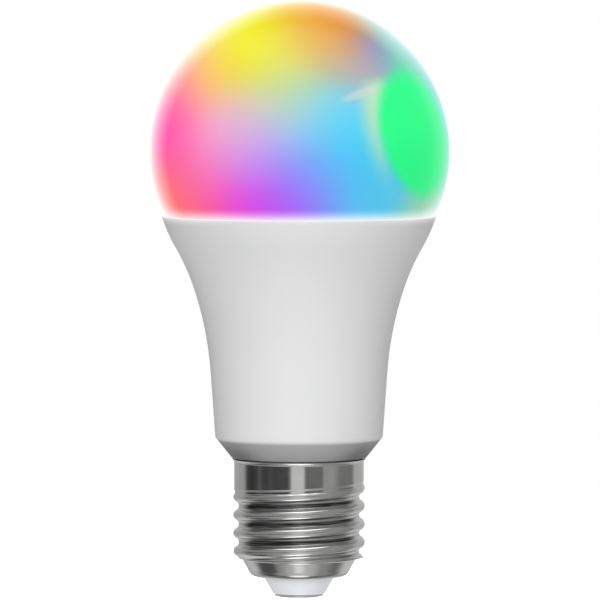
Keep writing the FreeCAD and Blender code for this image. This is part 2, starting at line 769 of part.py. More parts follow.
def heat_sink_cup():
    """Drawn aluminium cup inside the housing, with a ledge and a raised rim for the LED board."""
    body = new_body("heat_sink_cup")
    skin = "(housing_wall + cup_gap)"
    outer = flare(skin)
    inner = flare(f"({skin} + cup_wall)")
    foot = "cup_seat"
    revolve(
        body,
        "cup",
        [
            (taper_radius(skin, foot), foot),
            outer[0],
            (*outer[1], f"flare_lower_radius + {skin}", -1),
            ("cup_neck_radius", "board_seat - cup_wall"),
            ("cup_rim_radius", "board_seat - cup_wall"),
            ("cup_rim_radius", "cup_rim_top"),
            ("cup_rim_radius - cup_wall", "cup_rim_top"),
            ("cup_rim_radius - cup_wall", "board_seat"),
            ("cup_neck_radius - cup_wall", "board_seat"),
            inner[1],
            (*inner[0], f"flare_lower_radius + {skin} + cup_wall", 1),
            (taper_radius(f"({skin} + cup_wall)", foot), foot),
        ],
    )
    holes = new_sketch(body, "screw_holes_outline", "XY_Plane", "board_seat")
    circle(holes, "0", "screw_circle", "screw_thread_hole")
    circle(holes, "0", "-screw_circle", "screw_thread_hole")
    pocket(body, "screw_holes", holes, "cup_wall + 0.2")


def thermal_paste():
    """Thin ring of thermal paste between the ledge and the LED board."""
    body = new_body("thermal_paste")
    ring = new_sketch(body, "ring_outline", "XY_Plane", "board_seat")
    circle(ring, "0", "0", "paste_outer")
    circle(ring, "0", "0", "paste_inner")
    pad(body, "ring", ring, "paste_thickness")
    holes = new_sketch(body, "screw_holes_outline", "XY_Plane", "board_seat")
    for side in ("", "-"):
        circle(holes, "0", f"{side}screw_circle", "screw_hole")
    pocket(body, "screw_holes", holes, "paste_thickness", reverse=True)


# -------------------------------------------------------------- LED board, LEDs

BOARD_UNDER = "board_seat + paste_thickness"
BOARD_TOP = "board_seat + paste_thickness + led_board_thickness"


def led_board():
    """Aluminium-core board with slots for the radio module and the header pins, and two screw holes."""
    body = new_body("led_board")
    disc = new_sketch(body, "disc_outline", "XY_Plane", BOARD_UNDER)
    circle(disc, "0", "0", "led_board_radius")
    for side in ("", "-"):
        circle(disc, "0", f"{side}screw_circle", "screw_hole")
    centred_rectangle(disc, "0", "module_plane", "slot_length", "slot_width")
    centred_rectangle(disc, "0", "pin_plane", "pin_slot_length", "pin_slot_width")
    pad(body, "disc", disc, "led_board_thickness")


def white_leds(label, turn):
    """A ring of white LED packages, each a frame around a recess."""
    body = new_body(label)
    frame = new_sketch(body, "frame_outline", "XY_Plane", BOARD_TOP)
    centred_rectangle(frame, "white_circle", "0", "white_radial", "white_tangential")
    block = pad(body, "frame", frame, "white_height")
    well = new_sketch(body, "well_outline", "XY_Plane", f"{BOARD_TOP} + white_height")
    white_lens_outline(well)
    cut = pocket(body, "well", well, "white_recess")
    around(body, "ring", [block, cut], "white_count")
    bind(body, "Placement.Rotation.Angle", turn)


def white_lens_outline(sketch):
    """Rounded oblong window of a white LED package."""
    half_x = "(white_radial / 2 - white_frame)"
    half_y = "(white_tangential / 2 - white_frame)"
    corner = "0.4"
    left, right = f"white_circle - {half_x}", f"white_circle + {half_x}"
    outline(
        sketch,
        [
            (f"{left} + {corner}", f"-{half_y}", corner, 1),
            (f"{right} - {corner}", f"-{half_y}"),
            (right, f"-{half_y} + {corner}", corner, 1),
            (right, f"{half_y} - {corner}"),
            (f"{right} - {corner}", half_y, corner, 1),
            (f"{left} + {corner}", half_y),
            (left, f"{half_y} - {corner}", corner, 1),
            (left, f"-{half_y} + {corner}"),
        ],
    )


def white_phosphor(label, turn):
    """The phosphor that fills those recesses."""
    body = new_body(label)
    lens = new_sketch(body, "lens_outline", "XY_Plane", f"{BOARD_TOP} + white_height - white_recess")
    white_lens_outline(lens)
    first = pad(body, "lens", lens, "white_recess")
    around(body, "ring", [first], "white_count")
    bind(body, "Placement.Rotation.Angle", turn)


def colour_leds():
    """Six colour LED packages, each with a round well."""
    body = new_body("colour_led_packages")
    frame = new_sketch(body, "frame_outline", "XY_Plane", BOARD_TOP)
    centred_rectangle(frame, "colour_circle", "0", "colour_side", "colour_side")
    block = pad(body, "frame", frame, "colour_height")
    well = new_sketch(body, "well_outline", "XY_Plane", f"{BOARD_TOP} + colour_height")
    circle(well, "colour_circle", "0", "colour_well")
    cut = pocket(body, "well", well, "colour_recess")
    around(body, "ring", [block, cut], "colour_count")
    bind(body, "Placement.Rotation.Angle", "colour_turn")


def colour_dies(label, angle):
    """One die of each package, for one of its three colours."""
    body = new_body(label)
    well_floor = f"{BOARD_TOP} + colour_height - colour_recess"
    die = new_sketch(body, "die_outline", "XY_Plane", well_floor)
    x = f"colour_circle + die_offset * cos({angle})"
    centred_rectangle(die, x, f"die_offset * sin({angle})", "die_side", "die_side")
    first = pad(body, "die", die, "die_height")
    around(body, "ring", [first], "colour_count")
    bind(body, "Placement.Rotation.Angle", "colour_turn")


def colour_lenses():
    """Clear resin over the dies."""
    body = new_body("colour_led_lenses")
    die_top = f"{BOARD_TOP} + colour_height - colour_recess + die_height"
    lens = new_sketch(body, "lens_outline", "XY_Plane", die_top)
    circle(lens, "colour_circle", "0", "colour_well")
    first = pad(body, "lens", lens, "colour_recess - die_height")
    around(body, "ring", [first], "colour_count")
    bind(body, "Placement.Rotation.Angle", "colour_turn")


def led_board_screws():
    """Two pan-head screws with crossed recesses that hold the LED board to the cup's ledge."""
    body = new_body("led_board_screws")
    # The screw is turned about the body's own axis and the body stands on the first hole.
    revolve(
        body,
        "screw",
        [
            ("0", "-screw_length"),
            ("screw_shank * 0.5", "-screw_length"),
            ("screw_shank", "-screw_length + 0.7"),
            ("screw_shank", "0"),
            ("screw_head", "0"),
            ("screw_head", "screw_head_height * 0.45"),
            ("screw_head * 0.6", "screw_head_height", "screw_head * 0.8", 1),
            ("0", "screw_head_height"),
        ],
    )
    cross = new_sketch(body, "cross_outline", "XY_Plane", "screw_head_height")
    arm, half = "screw_head * 0.55", "0.17"
    outline(
        cross,
        [
            (f"-{half}", f"-{arm}"),
            (half, f"-{arm}"),
            (half, f"-{half}"),
            (arm, f"-{half}"),
            (arm, half),
            (half, half),
            (half, arm),
            (f"-{half}", arm),
            (f"-{half}", half),
            (f"-{arm}", half),
            (f"-{arm}", f"-{half}"),
            (f"-{half}", f"-{half}"),
        ],
    )
    pocket(body, "cross", cross, "screw_head_height * 0.6")
    SUB_PARTS.remove(body)
    body.Label = "led_board_screw_first"
    place(body, "0", "screw_circle", BOARD_TOP)
    other = DOC.addObject("Part::Mirroring", "led_board_screw_second")
    other.Source = body
    other.Normal = Vector(0, 1, 0)
    other.Base = Vector()
    group("led_board_screws", [body, other])


# --------------------------------------------------------- board-to-board header


def header_pins():
    """Five square pins from the driver board up into the LED board's socket, each bent at its foot."""
    body = new_body("header_pins")
    pin = new_sketch(body, "pin_outline", "YZ_Plane")
    face = "-driver_thickness / 2"
    outline(
        pin,
        [
            (face, "pin_bottom"),
            (face, "pin_bottom + pin_side"),
            ("pin_plane + pin_side / 2", "pin_bottom + pin_side"),
            ("pin_plane + pin_side / 2", "pin_top"),
            ("pin_plane - pin_side / 2", "pin_top"),
            ("pin_plane - pin_side / 2", "pin_bottom + pin_side / 2"),
            ("pin_plane", "pin_bottom", "pin_side / 2", 1),
        ],
    )
    first = pad(body, "pin", pin, "pin_side", both_ways=True)
    along(body, "row", [first], "X_Axis", "pin_pitch * (pin_count - 1)", "pin_count")
    place(body, "-pin_pitch * (pin_count - 1) / 2", "0", "0")


def pin_block(label, bottom, height, length, near, far):
    """A plastic block across the pins, with a square hole for each."""
    body = new_body(label)
    block = new_sketch(body, "block_outline", "XY_Plane", bottom)
    rectangle(block, f"-({length}) / 2", near, f"({length}) / 2", far)
    pad(body, "block", block, height)
    holes = new_sketch(body, "holes_outline", "XY_Plane", bottom)
    side = "pin_side + 2 * pin_room"
    centred_rectangle(holes, "-pin_pitch * (pin_count - 1) / 2", "pin_plane", side, side)
    first = pocket(body, "hole", holes, height, reverse=True)
    along(body, "row", [first], "X_Axis", "pin_pitch * (pin_count - 1)", "pin_count")


def header_body():
    pin_block(
        "header_body",
        "header_bottom",
        "header_height",
        "header_length",
        "-driver_thickness / 2 - header_depth",
        "-driver_thickness / 2",
    )


def header_socket():
    pin_block(
        "header_socket",
        BOARD_TOP,
        "socket_height",
        "socket_length",
        "pin_plane - socket_width / 2",
        "pin_plane + socket_width / 2",
    )


# ------------------------------------------------------------------- driver


def driver_sleeve():
    """Insulating sleeve around the driver, with four rails that hold the board's edges."""
    body = new_body("driver_sleeve")
    revolve(
        body,
        "tube",
        [
            ("sleeve_radius - sleeve_wall", "housing_floor"),
            ("sleeve_radius", "housing_floor"),
            ("sleeve_radius", "sleeve_top"),
            ("sleeve_radius - sleeve_wall", "sleeve_top"),
        ],
    )
    rails = new_sketch(body, "rails_outline", "XY_Plane", "housing_floor")
    near = "driver_thickness / 2 + rail_gap"
    far = f"{near} + rail_width"
    outer = "sleeve_radius - sleeve_wall / 2"
    inner = "sleeve_radius - sleeve_wall - rail_depth"
    for side in ("", "-"):
        for face in ("", "-"):
            rectangle(rails, f"{side}({inner})", f"{face}({near})", f"{side}({outer})", f"{face}({far})")
    pad(body, "rails", rails, "driver_top - housing_floor")


def driver_board():
    """Driver board: a wide upper part in the sleeve, and a tongue that reaches down the neck."""
    body = new_body("driver_board")
    board = new_sketch(body, "board_outline")
    outline(
        board,
        [
            ("-tongue_half_width", "tongue_bottom"),
            ("tongue_half_width", "tongue_bottom"),
            ("tongue_half_width", "housing_floor"),
            ("driver_half_width", "housing_floor"),
            ("driver_half_width", "driver_top"),
            ("-driver_half_width", "driver_top"),
            ("-driver_half_width", "housing_floor"),
            ("-tongue_half_width", "housing_floor"),
        ],
    )
    pad(body, "board", board, "driver_thickness", both_ways=True)


def electrolytic(label, radius, length, across, bottom, side):
    """A capacitor can that lies along the board, with a crimped waist and a round shoulder, and its bung."""
    out = f"{side} * (driver_thickness / 2 + can_seat + {radius})"
    can = new_body(label)
    revolve(
        can,
        "can",
        [
            ("0", "bung_top"),
            (f"{radius} - can_shoulder", "bung_top"),
            (f"{radius} - can_shoulder", "0"),
            (f"{radius} - can_shoulder / 2", "0"),
            (radius, "can_shoulder / 2", "can_shoulder / 2", 1),
            (radius, "crimp_level - crimp_reach"),
            (f"{radius} - can_crimp", "crimp_level"),
            (radius, "crimp_level + crimp_reach"),
            (radius, f"{length} - can_shoulder"),
            (f"{radius} - can_shoulder", length, "can_shoulder", 1),
            ("0", length),
        ],
    )
    place(can, across, out, bottom)
    bung = new_body(f"{label}_bung")
    revolve(
        bung,
        "bung",
        [
            ("0", "bung_recess"),
            (f"{radius} - can_shoulder - bung_gap", "bung_recess"),
            (f"{radius} - can_shoulder - bung_gap", "bung_top"),
            ("0", "bung_top"),
        ],
    )
    place(bung, across, out, bottom)


def transformer():
    """Transformer: a ferrite core with a middle leg, a bobbin around that leg, and the winding on it."""
    near = "driver_thickness / 2 + core_standoff"
    body = new_body("transformer_core")
    frame = new_sketch(body, "frame_outline")
    centred_rectangle(frame, "core_across", "core_middle", "core_width", "core_height")
    for side in ("-", "+"):
        x = f"core_across {side} (core_leg + core_window) / 2"
        centred_rectangle(frame, x, "core_middle", "core_window", "core_window_height")
    pad(body, "frame", frame, "core_depth", reverse=True)
    place(body, "0", near, "0")

    middle_y = f"{near} + core_depth / 2"
    flange_x = "core_leg + 2 * core_window - 0.2"
    gap = "0.05"
    parts = []
    # Two flanges and a tube, then the leg's hole through all three.
    for name, side in (("lower", "-"), ("upper", "+")):
        level = f"core_middle {side} (core_window_height / 2 - bobbin_wall / 2 - {gap})"
        parts.append(
            box(
                f"bobbin_{name}_flange",
                (flange_x, "bobbin_depth", "bobbin_wall"),
                (
                    f"core_across - ({flange_x}) / 2",
                    f"{middle_y} - bobbin_depth / 2",
                    f"{level} - bobbin_wall / 2",
                ),
            )
        )
    tube = ("core_leg + 2 * bobbin_wall + 0.1", "core_depth + 2 * bobbin_wall + 0.1")
    tube_height = f"core_window_height - 2 * {gap}"
    parts.append(
        box(
            "bobbin_tube",
            (*tube, tube_height),
            (
                f"core_across - ({tube[0]}) / 2",
                f"{middle_y} - ({tube[1]}) / 2",
                f"core_middle - ({tube_height}) / 2",
            ),
        )
    )
    solid = DOC.addObject("Part::MultiFuse", "bobbin_solid")
    solid.Shapes = parts
    hole = box(
        "bobbin_hole",
        (f"core_leg + 2 * {gap}", f"core_depth + 2 * {gap}", "core_window_height"),
        (
            f"core_across - core_leg / 2 - {gap}",
            f"{middle_y} - core_depth / 2 - {gap}",
            "core_middle - core_window_height / 2",
        ),
    )
    single(combine("Cut", "transformer_bobbin", solid, hole), "transformer_bobbin")

    coil = ("core_leg + 2 * coil_build + 1", "core_depth + 2 * coil_build - 0.2")
    coil_height = f"core_window_height - 2 * (bobbin_wall + {gap}) - 0.1"
    bottom = f"core_middle - ({coil_height}) / 2"
    block = box(
        "winding_block",
        (*coil, coil_height),
        (f"core_across - ({coil[0]}) / 2", f"{middle_y} - ({coil[1]}) / 2", bottom),
    )
    rounded = softened("winding_rounded", block, "coil_build / 2", upright)
    bore = box(
        "winding_bore",
        (f"{tube[0]} + 2 * {gap}", f"{tube[1]} + 2 * {gap}", coil_height),
        (
            f"core_across - ({tube[0]}) / 2 - {gap}",
            f"{middle_y} - ({tube[1]}) / 2 - {gap}",
            bottom,
        ),
    )
    single(combine("Cut", "transformer_winding", rounded, bore), "transformer_winding")


def filter_choke():
    """Mains filter choke: a ferrite drum and the winding around its waist."""
    out = "driver_thickness / 2 + can_seat + choke_radius"
    top = "choke_height - choke_flange"
    drum = new_body("choke_core")
    revolve(
        drum,
        "drum",
        [
            ("0", "0"),
            ("choke_radius", "0"),
            ("choke_radius", "choke_flange"),
            ("choke_core", "choke_flange"),
            ("choke_core", top),
            ("choke_radius", top),
            ("choke_radius", "choke_height"),
            ("0", "choke_height"),
        ],
    )
    place(drum, "choke_across", out, "choke_bottom")
    coil = new_body("choke_winding")
    revolve(
        coil,
        "coil",
        [
            ("choke_core + 0.03", "choke_flange + 0.03"),
            ("choke_radius - 0.5", "choke_flange + 0.03"),
            ("choke_radius - 0.5", f"{top} - 0.03", "choke_height * 1.5", 1),
            ("choke_core + 0.03", f"{top} - 0.03"),
        ],
    )
    place(coil, "choke_across", out, "choke_bottom")


def fusible_resistor():
    """Axial resistor with a waist between two wider ends."""
    body = new_body("fusible_resistor")
    end, waist = "fuse_length * 0.22", "fuse_radius * 0.86"
    revolve(
        body,
        "resistor",
        [
            ("0", "0"),
            ("fuse_radius - 0.4", "0"),
            ("fuse_radius", "0.4", "0.4", 1),
            ("fuse_radius", f"{end} - 0.3"),
            (waist, end),
            (waist, f"fuse_length - {end}"),
            ("fuse_radius", f"fuse_length - {end} + 0.3"),
            ("fuse_radius", "fuse_length - 0.4"),
            ("fuse_radius - 0.4", "fuse_length", "0.4", 1),
            ("0", "fuse_length"),
        ],
    )
    place(body, "fuse_across", "driver_thickness / 2 + can_seat + fuse_radius", "fuse_bottom")


def varistor():
    """Surge-absorbing disc, flat against the tongue."""
    disc = cylinder(
        "varistor_disc",
        "varistor_radius",
        "varistor_thickness",
        ("varistor_across", "-driver_thickness / 2 - can_seat", "varistor_height"),
        Rotation(Vector(1, 0, 0), 90),
    )
    single(softened("varistor", disc, "varistor_thickness * 0.3", lambda e: len(e.Vertexes) == 1), "varistor")


def film_capacitor():
    """Moulded box capacitor on the tongue."""
    block = box(
        "film_capacitor_block",
        ("film_width", "film_depth", "film_height"),
        ("film_left", "-driver_thickness / 2 - can_seat - film_depth", "film_bottom"),
    )
    single(softened("film_capacitor", block, "0.4"), "film_capacitor")


def chip(label, width, height, thickness, middle):
    """A moulded chip body on the board's near face."""
    body = new_body(label)
    face = new_sketch(body, "face_outline")
    centred_rectangle(face, "chip_column", middle, width, height)
    pad(body, "mould", face, thickness)
    place(body, "0", "-driver_thickness / 2 - chip_standoff", "0")
    dot = new_sketch(body, "dot_outline", lift=thickness)
    circle(dot, f"chip_column - {width} / 2 + 0.6", f"{middle} + {height} / 2 - 0.6", "0.25")
    pocket(body, "pin_one_dot", dot, "0.1")


def chip_leads():
    """Legs of the bridge and of the two chips, bent down to the board's face."""
    made = []
    surface = "-driver_thickness / 2"
    rows = [
        ("bridge", "bridge_middle", "bridge_width", 2, "chip_pitch * 2"),
        ("supply", "supply_chip_middle", "chip_width", 4, "chip_pitch"),
        ("dimmer", "dimmer_chip_middle", "chip_width", 4, "chip_pitch"),
    ]
    for name, middle, width, count, pitch in rows:
        for side in (-1, 1):
            for n in range(count):
                level = f"{middle} + ({n} - {(count - 1) / 2}) * {pitch} - leg_width / 2"
                edge = f"chip_column + {side} * {width} / 2"
                left = edge if side > 0 else f"{edge} - leg_reach"
                made.append(
                    box(
                        f"{name}_leg_{'r' if side > 0 else 'l'}{n}",
                        ("leg_reach", "leg_thickness", "leg_width"),
                        (left, f"{surface} - leg_thickness", level),
                    )
                )
    group("chip_leads", made)


def surface_mount(label, column, first, rows, columns, thickness):
    """Rows of small surface-mount parts on the board's near face."""
    body = new_body(label)
    face = new_sketch(body, "face_outline")
    for row in range(rows):
        for n in range(columns):
            x = f"{column} + {n} * (resistor_length + 0.6)"
            z = f"{first} + {row} * resistor_pitch"
            centred_rectangle(face, x, z, "resistor_length", "resistor_width")
    pad(body, "chips", face, thickness)
    place(body, "0", "-driver_thickness / 2", "0")


def component_leads():
    """Round leads of the through-hole parts, from each part to the board's face."""
    surface = "driver_thickness / 2"
    made = []

    def pair(name, across, out, side, end, below, spread):
        """Two leads that leave a part's end along the board and turn into it, drawn as a run and a post."""
        for n, sign in enumerate((-1, 1)):
            x = f"{across} + {sign} * {spread}"
            reach = f"{end} - {below} * 1.6"
            run_low, run_high = (reach, end) if below > 0 else (end, reach)
            run = cylinder(
                f"{name}_run_{n}",
                "lead_radius",
                f"({run_high}) - ({run_low})",
                (x, f"{side} * ({out})", run_low),
            )
            post = cylinder(
                f"{name}_post_{n}",
                "lead_radius",
                f"{out} - {surface}",
                (x, f"{side} * {surface}", reach),
                Rotation(Vector(1, 0, 0), -90 * side),
            )
            knee = DOC.addObject("Part::Sphere", f"{name}_knee_{n}")
            bind(knee, "Radius", "lead_radius")
            place(knee, x, f"{side} * ({out})", reach)
            joined = DOC.addObject("Part::MultiFuse", f"{name}_lead_{n}")
            joined.Shapes = [run, post, knee]
            made.append(joined)

    seat = f"{surface} + can_seat"
    output_end = "output_bottom + bung_recess"
    film_middle = "film_left + film_width / 2"
    varistor_out = f"{seat} + varistor_thickness / 2"
    varistor_end = "varistor_height - varistor_radius + 0.05"
    pair("bulk", "bulk_across", f"{seat} + bulk_radius", 1, "bulk_bottom + bung_recess", 1, "bulk_lead")
    pair("output", "output_across", f"{seat} + output_radius", -1, output_end, 1, "output_lead")
    pair("choke", "choke_across", f"{seat} + choke_radius / 2", 1, "choke_bottom", 1, "choke_lead")
    pair("film", film_middle, f"{seat} + film_depth / 2", -1, "film_bottom", 1, "film_lead")
    pair("varistor", "varistor_across", varistor_out, -1, varistor_end, 1, "varistor_lead")
    for name, end, below in (("lower", "fuse_bottom", 1), ("upper", "fuse_bottom + fuse_length", -1)):
        pair(f"fuse_{name}", "fuse_across", f"{seat} + fuse_radius", 1, end, below, "0")
    # A resistor's two leads lie on its axis, so each end keeps one of its pair.
    group("component_leads", [m for m in made if not (m.Name.startswith("fuse") and m.Name.endswith("_1"))])


# ------------------------------------------------------------- radio module


def radio_module():
    """Radio module: a small board up through the LED board, so that its antenna is in the dome."""
    board = new_body("radio_board")
    face = new_sketch(board, "board_outline")
    rectangle(face, "-module_width / 2", "module_bottom", "module_width / 2", "module_top")
    pad(board, "board", face, "module_thickness", both_ways=True)
    place(board, "0", "module_plane", "0")

    far = "module_plane + module_thickness / 2"
    outer = box(
        "shield_outer",
        ("shield_width", "shield_thickness", "shield_height"),
        ("-shield_width / 2", far, "shield_bottom"),
    )
    outer = softened("shield_rounded", outer, "0.3", upright)
    inner = box(
        "shield_inner",
        (
            "shield_width - 2 * shield_wall",
            "shield_thickness - shield_wall",
            "shield_height - 2 * shield_wall",
        ),
        ("-shield_width / 2 + shield_wall", far, "shield_bottom + shield_wall"),
    )
    single(combine("Cut", "radio_shield", outer, inner), "radio_shield")

    die = box(
        "radio_chip_block",
        ("radio_chip_side", "radio_chip_thickness", "radio_chip_side"),
        ("-radio_chip_side / 2", far, "shield_bottom + (shield_height - radio_chip_side) / 2"),
    )
    single(softened("radio_chip", die, "0.1"), "radio_chip")

    trace = new_body("radio_antenna")
    meander = new_sketch(trace, "meander_outline")
    outline(meander, meander_corners())
    pad(trace, "meander", meander, "trace_thickness", reverse=True)
    place(trace, "0", far, "0")

    strip = new_body("radio_pin_strip")
    bar = new_sketch(strip, "bar_outline")
    centred_rectangle(bar, "0", "strip_bottom + strip_height / 2", "header_length", "strip_height")
    for n in range(int(value("pin_count"))):
        x = f"({n} - (pin_count - 1) / 2) * pin_pitch"
        side = "pin_side + 2 * pin_room"
        centred_rectangle(bar, x, "strip_bottom + strip_height / 2", side, side)
    gap = "module_plane - module_thickness / 2 - driver_thickness / 2"
    pad(strip, "bar", bar, gap, reverse=True)
    place(strip, "0", "driver_thickness / 2", "0")

    pins = new_body("radio_module_pins")
    ends = new_sketch(pins, "pin_outline")
    x = "-(pin_count - 1) / 2 * pin_pitch"
    centred_rectangle(ends, x, "strip_bottom + strip_height / 2", "pin_side", "pin_side")
    first = pad(pins, "pin", ends, gap, reverse=True)
    along(pins, "row", [first], "X_Axis", "pin_pitch * (pin_count - 1)", "pin_count")
    place(pins, "0", "driver_thickness / 2", "0")


def meander_corners():
    """Outline of one trace that runs up and down across the board, as a chain out along one side and back."""
    legs = 6
    step = f"(2 * trace_half - trace_width) / {legs - 1}"
    top, bottom = "trace_bottom + trace_rise", "trace_bottom"
    upper, lower = [], []
    for n in range(legs):
        left = f"-trace_half + {n} * {step}"
        right = f"{left} + trace_width"
        rising = n % 2 == 0
        # The chain passes over a rising leg at its top, and under a falling one at its foot.
        if rising:
            upper += [(left, bottom if n == 0 else f"{bottom} + trace_width"), (left, top)]
            lower += [(right, bottom), (right, f"{top} - trace_width")]
        else:
            upper += [(right, top), (right, f"{bottom} + trace_width")]
            lower += [(left, f"{top} - trace_width"), (left, bottom)]
    upper[-1] = (upper[-1][0], bottom)
    return upper + lower[::-1]


# ------------------------------------------------------- wires and solder


def bend_of(start, corner, end, radius):
    """Where an arc of that radius leaves and rejoins a cornered route, with its turn.

    Each point is two expressions.
    """
    a, b, c = [Vector(value(p[0]), value(p[1]), 0) for p in (start, corner, end)]
    into, out = (b - a).normalize(), (c - b).normalize()
    turned = math.degrees(into.getAngle(out))
    cut = value(radius) * math.tan(math.radians(turned / 2))
    side = 1 if into.cross(out).z > 0 else -1
    first = (f"{corner[0]} - {into.x * cut:.6f}", f"{corner[1]} - {into.y * cut:.6f}")
    second = (f"{corner[0]} + {out.x * cut:.6f}", f"{corner[1]} + {out.y * cut:.6f}", radius, side)
    return first, second


def wire(label, plane, route, base):
    """A round wire along a flat route of straight runs joined by tangent arcs."""
    body = new_body(label)
    chain = [route[0]]
    for i in range(1, len(route) - 1):
        chain += bend_of(route[i - 1], route[i], route[i + 1], "wire_bend")
    chain.append(route[-1])
    spine = new_sketch(body, "route", plane)
    outline(spine, chain, closed=False)
    profile = new_sketch(body, "section", "XY_Plane", route[0][1])
    x, y = (route[0][0], "0") if plane == "XZ_Plane" else ("0", route[0][0])
    circle(profile, x, y, "wire_radius")
    pipe = add_feature(body, "PartDesign::AdditivePipe", "wire", profile)
    pipe.Spine = (spine, [f"Edge{i + 1}" for i in range(spine.GeometryCount)])
    settle(body, pipe, grows=True)
    place(body, *base)


def live_wire():
    """From the board's tongue to the centre contact, in the YZ plane."""
    top = "driver_thickness / 2 + wire_radius + can_seat"
    wire(
        "live_wire",
        "YZ_Plane",
        [(top, "live_start"), (top, "live_bend_top"), ("0", "live_bend_bottom"), ("0", "live_end")],
        ("0", "0", "0"),
    )


def neutral_wire():
    """From the board's tongue, through the neck's notch, to the inside of the screw shell."""
    wire(
        "neutral_wire",
        "XZ_Plane",
        [
            ("neutral_across", "neutral_start"),
            ("neutral_across", "neutral_corner"),
            ("neutral_end_across", "neutral_end_height"),
        ],
        ("0", "pin_plane / 2", "0"),
    )


def solder_joints():
    """Domed joints where the leads come through the board, on the face away from each part."""
    spots = [
        ("bulk", "bulk_across", "bulk_bottom - 1.4", "1.75", -1),
        ("choke", "choke_across", "choke_bottom - 1.6", "1.6", -1),
        ("output", "output_across", "output_bottom - 1.4", "1.25", 1),
        ("film", "film_left + film_width / 2", "film_bottom - 1.6", "2.5", 1),
    ]
    made = []
    for name, across, height, spread, side in spots:
        for n, sign in enumerate((-1, 1)):
            cone = DOC.addObject("Part::Cone", f"{name}_joint_{n}")
            bind(cone, "Radius1", "solder_radius")
            bind(cone, "Radius2", "solder_radius * 0.35")
            bind(cone, "Height", "solder_height")
            cone.Placement = Placement(Vector(), Rotation(Vector(1, 0, 0), -90 * side))
            place(cone, f"{across} + {sign} * {spread}", f"{side} * driver_thickness / 2", height)
            made.append(cone)
    group("solder_joints", made)


# ------------------------------------------------------------------ screw cap


def thread_groove():
    """Corners (radius, height) of one groove of the round thread, open to the outside.

    The root arc and the two crest arcs have one radius and meet in line, so the thread is a smooth wave.
    """
    depth = "(cap_radius - thread_root)"
    half = "(thread_pitch / 2)"
    wave = f"({depth}^2 + {half}^2) / (4 * {depth})"
    meet_r = f"thread_root + {depth} / 2"
    meet_z = f"{half} / 2"
    edge_r = "cap_radius - thread_land"
    edge_z = f"{half} - sqrt(({wave})^2 - ({wave} - thread_land)^2)"
    outside = "cap_radius + 0.8"
    return [
        (outside, f"-({edge_z})"),
        (edge_r, f"-({edge_z})"),
        (meet_r, f"-({meet_z})", wave, 1),
        (meet_r, meet_z, wave, -1),
        (edge_r, edge_z, wave, 1),
        (outside, edge_z),
    ]


def screw_shell():
    """Plated screw shell: flared lip, plain skirt, round thread that runs out under the skirt, and a cone."""
    body = new_body("screw_shell")
    lip_foot = "cap_top - lip_height"
    revolve(
        body,
        "blank",
        [
            ("0", "shell_floor"),
            ("shell_floor_radius", "shell_floor"),
            ("cone_bottom_radius", "cone_bottom_height", "shell_turn_radius", 1),
            ("cone_top_radius", "cone_top_height"),
            ("cap_radius", "thread_bottom"),
            ("cap_radius", lip_foot),
            ("lip_radius", "cap_top", "lip_height * 1.7", -1),
            ("0", "cap_top"),
        ],
    )
    groove = thread_groove()
    screw_thread(body, "Subtractive", "thread", groove, "thread_first_root", "thread_turns")
    screw_thread(
        body,
        "Subtractive",
        "thread_runout",
        groove,
        "thread_first_root + thread_pitch * thread_turns",
        "0.5",
        "runout_angle",
    )
    hollow(
        body,
        "skirt",
        [
            ("skirt_radius", "skirt_bottom"),
            ("cap_radius + 0.3", "skirt_bottom - 0.6"),
            ("cap_radius + 0.3", lip_foot),
            ("skirt_radius", lip_foot),
        ],
    )
    inside = "(skirt_radius - shell_wall)"
    bore = "(thread_root - shell_wall)"
    hollow(
        body,
        "inside",
        [
            ("0", "shell_floor + shell_wall"),
            ("shell_floor_radius", "shell_floor + shell_wall"),
            (
                "cone_bottom_radius - shell_wall",
                "cone_bottom_height + shell_wall * 0.4",
                "shell_turn_radius - shell_wall",
                1,
            ),
            ("cone_top_radius - shell_wall", "cone_top_height + shell_wall * 0.4"),
            (bore, "thread_bottom + shell_wall"),
            (bore, "neck_step"),
            (inside, "neck_step + 0.4"),
            (inside, lip_foot),
            ("lip_radius - shell_wall", "cap_top", "lip_height * 1.7 + shell_wall", -1),
            ("0", "cap_top"),
        ],
    )
    hole = new_sketch(body, "hole_outline", "XY_Plane", "shell_floor")
    circle(hole, "0", "0", "shell_hole")
    pocket(body, "hole", hole, "shell_wall * 1.5", reverse=True)
    screw_thread(
        body,
        "Subtractive",
        "inside_thread",
        inner_groove(),
        "thread_first_root + 1.5 * thread_pitch",
        "2.5",
    )


def inner_groove():
    """Corners of the hollow behind one crest: the same wave as outside, one sheet thickness in."""
    depth = "(cap_radius - thread_root)"
    half = "(thread_pitch / 2)"
    wave = f"(({depth}^2 + {half}^2) / (4 * {depth}))"
    crest = f"(cap_radius - {wave})"
    root = f"(thread_root + {wave})"
    crest_arc = f"({wave} - shell_wall)"
    flank_arc = f"({wave} + shell_wall)"
    # The inset arcs meet on the line that joins their centres.
    lean = f"(({root} - {crest}) / (2 * {wave}))"
    rise = f"({half} / (2 * {wave}))"
    meet_r, meet_z = f"{crest} + {lean} * {crest_arc}", f"{rise} * {crest_arc}"
    edge_r = "thread_root - shell_wall + 0.03"
    edge_z = f"{half} - sqrt({flank_arc}^2 - ({root} - ({edge_r}))^2)"
    inside = "thread_root - shell_wall - 0.3"
    return [
        (inside, f"-({edge_z})"),
        (edge_r, f"-({edge_z})"),
        (meet_r, f"-({meet_z})", flank_arc, -1),
        (meet_r, meet_z, crest_arc, 1),
        (edge_r, edge_z, flank_arc, -1),
        (inside, edge_z),
    ]


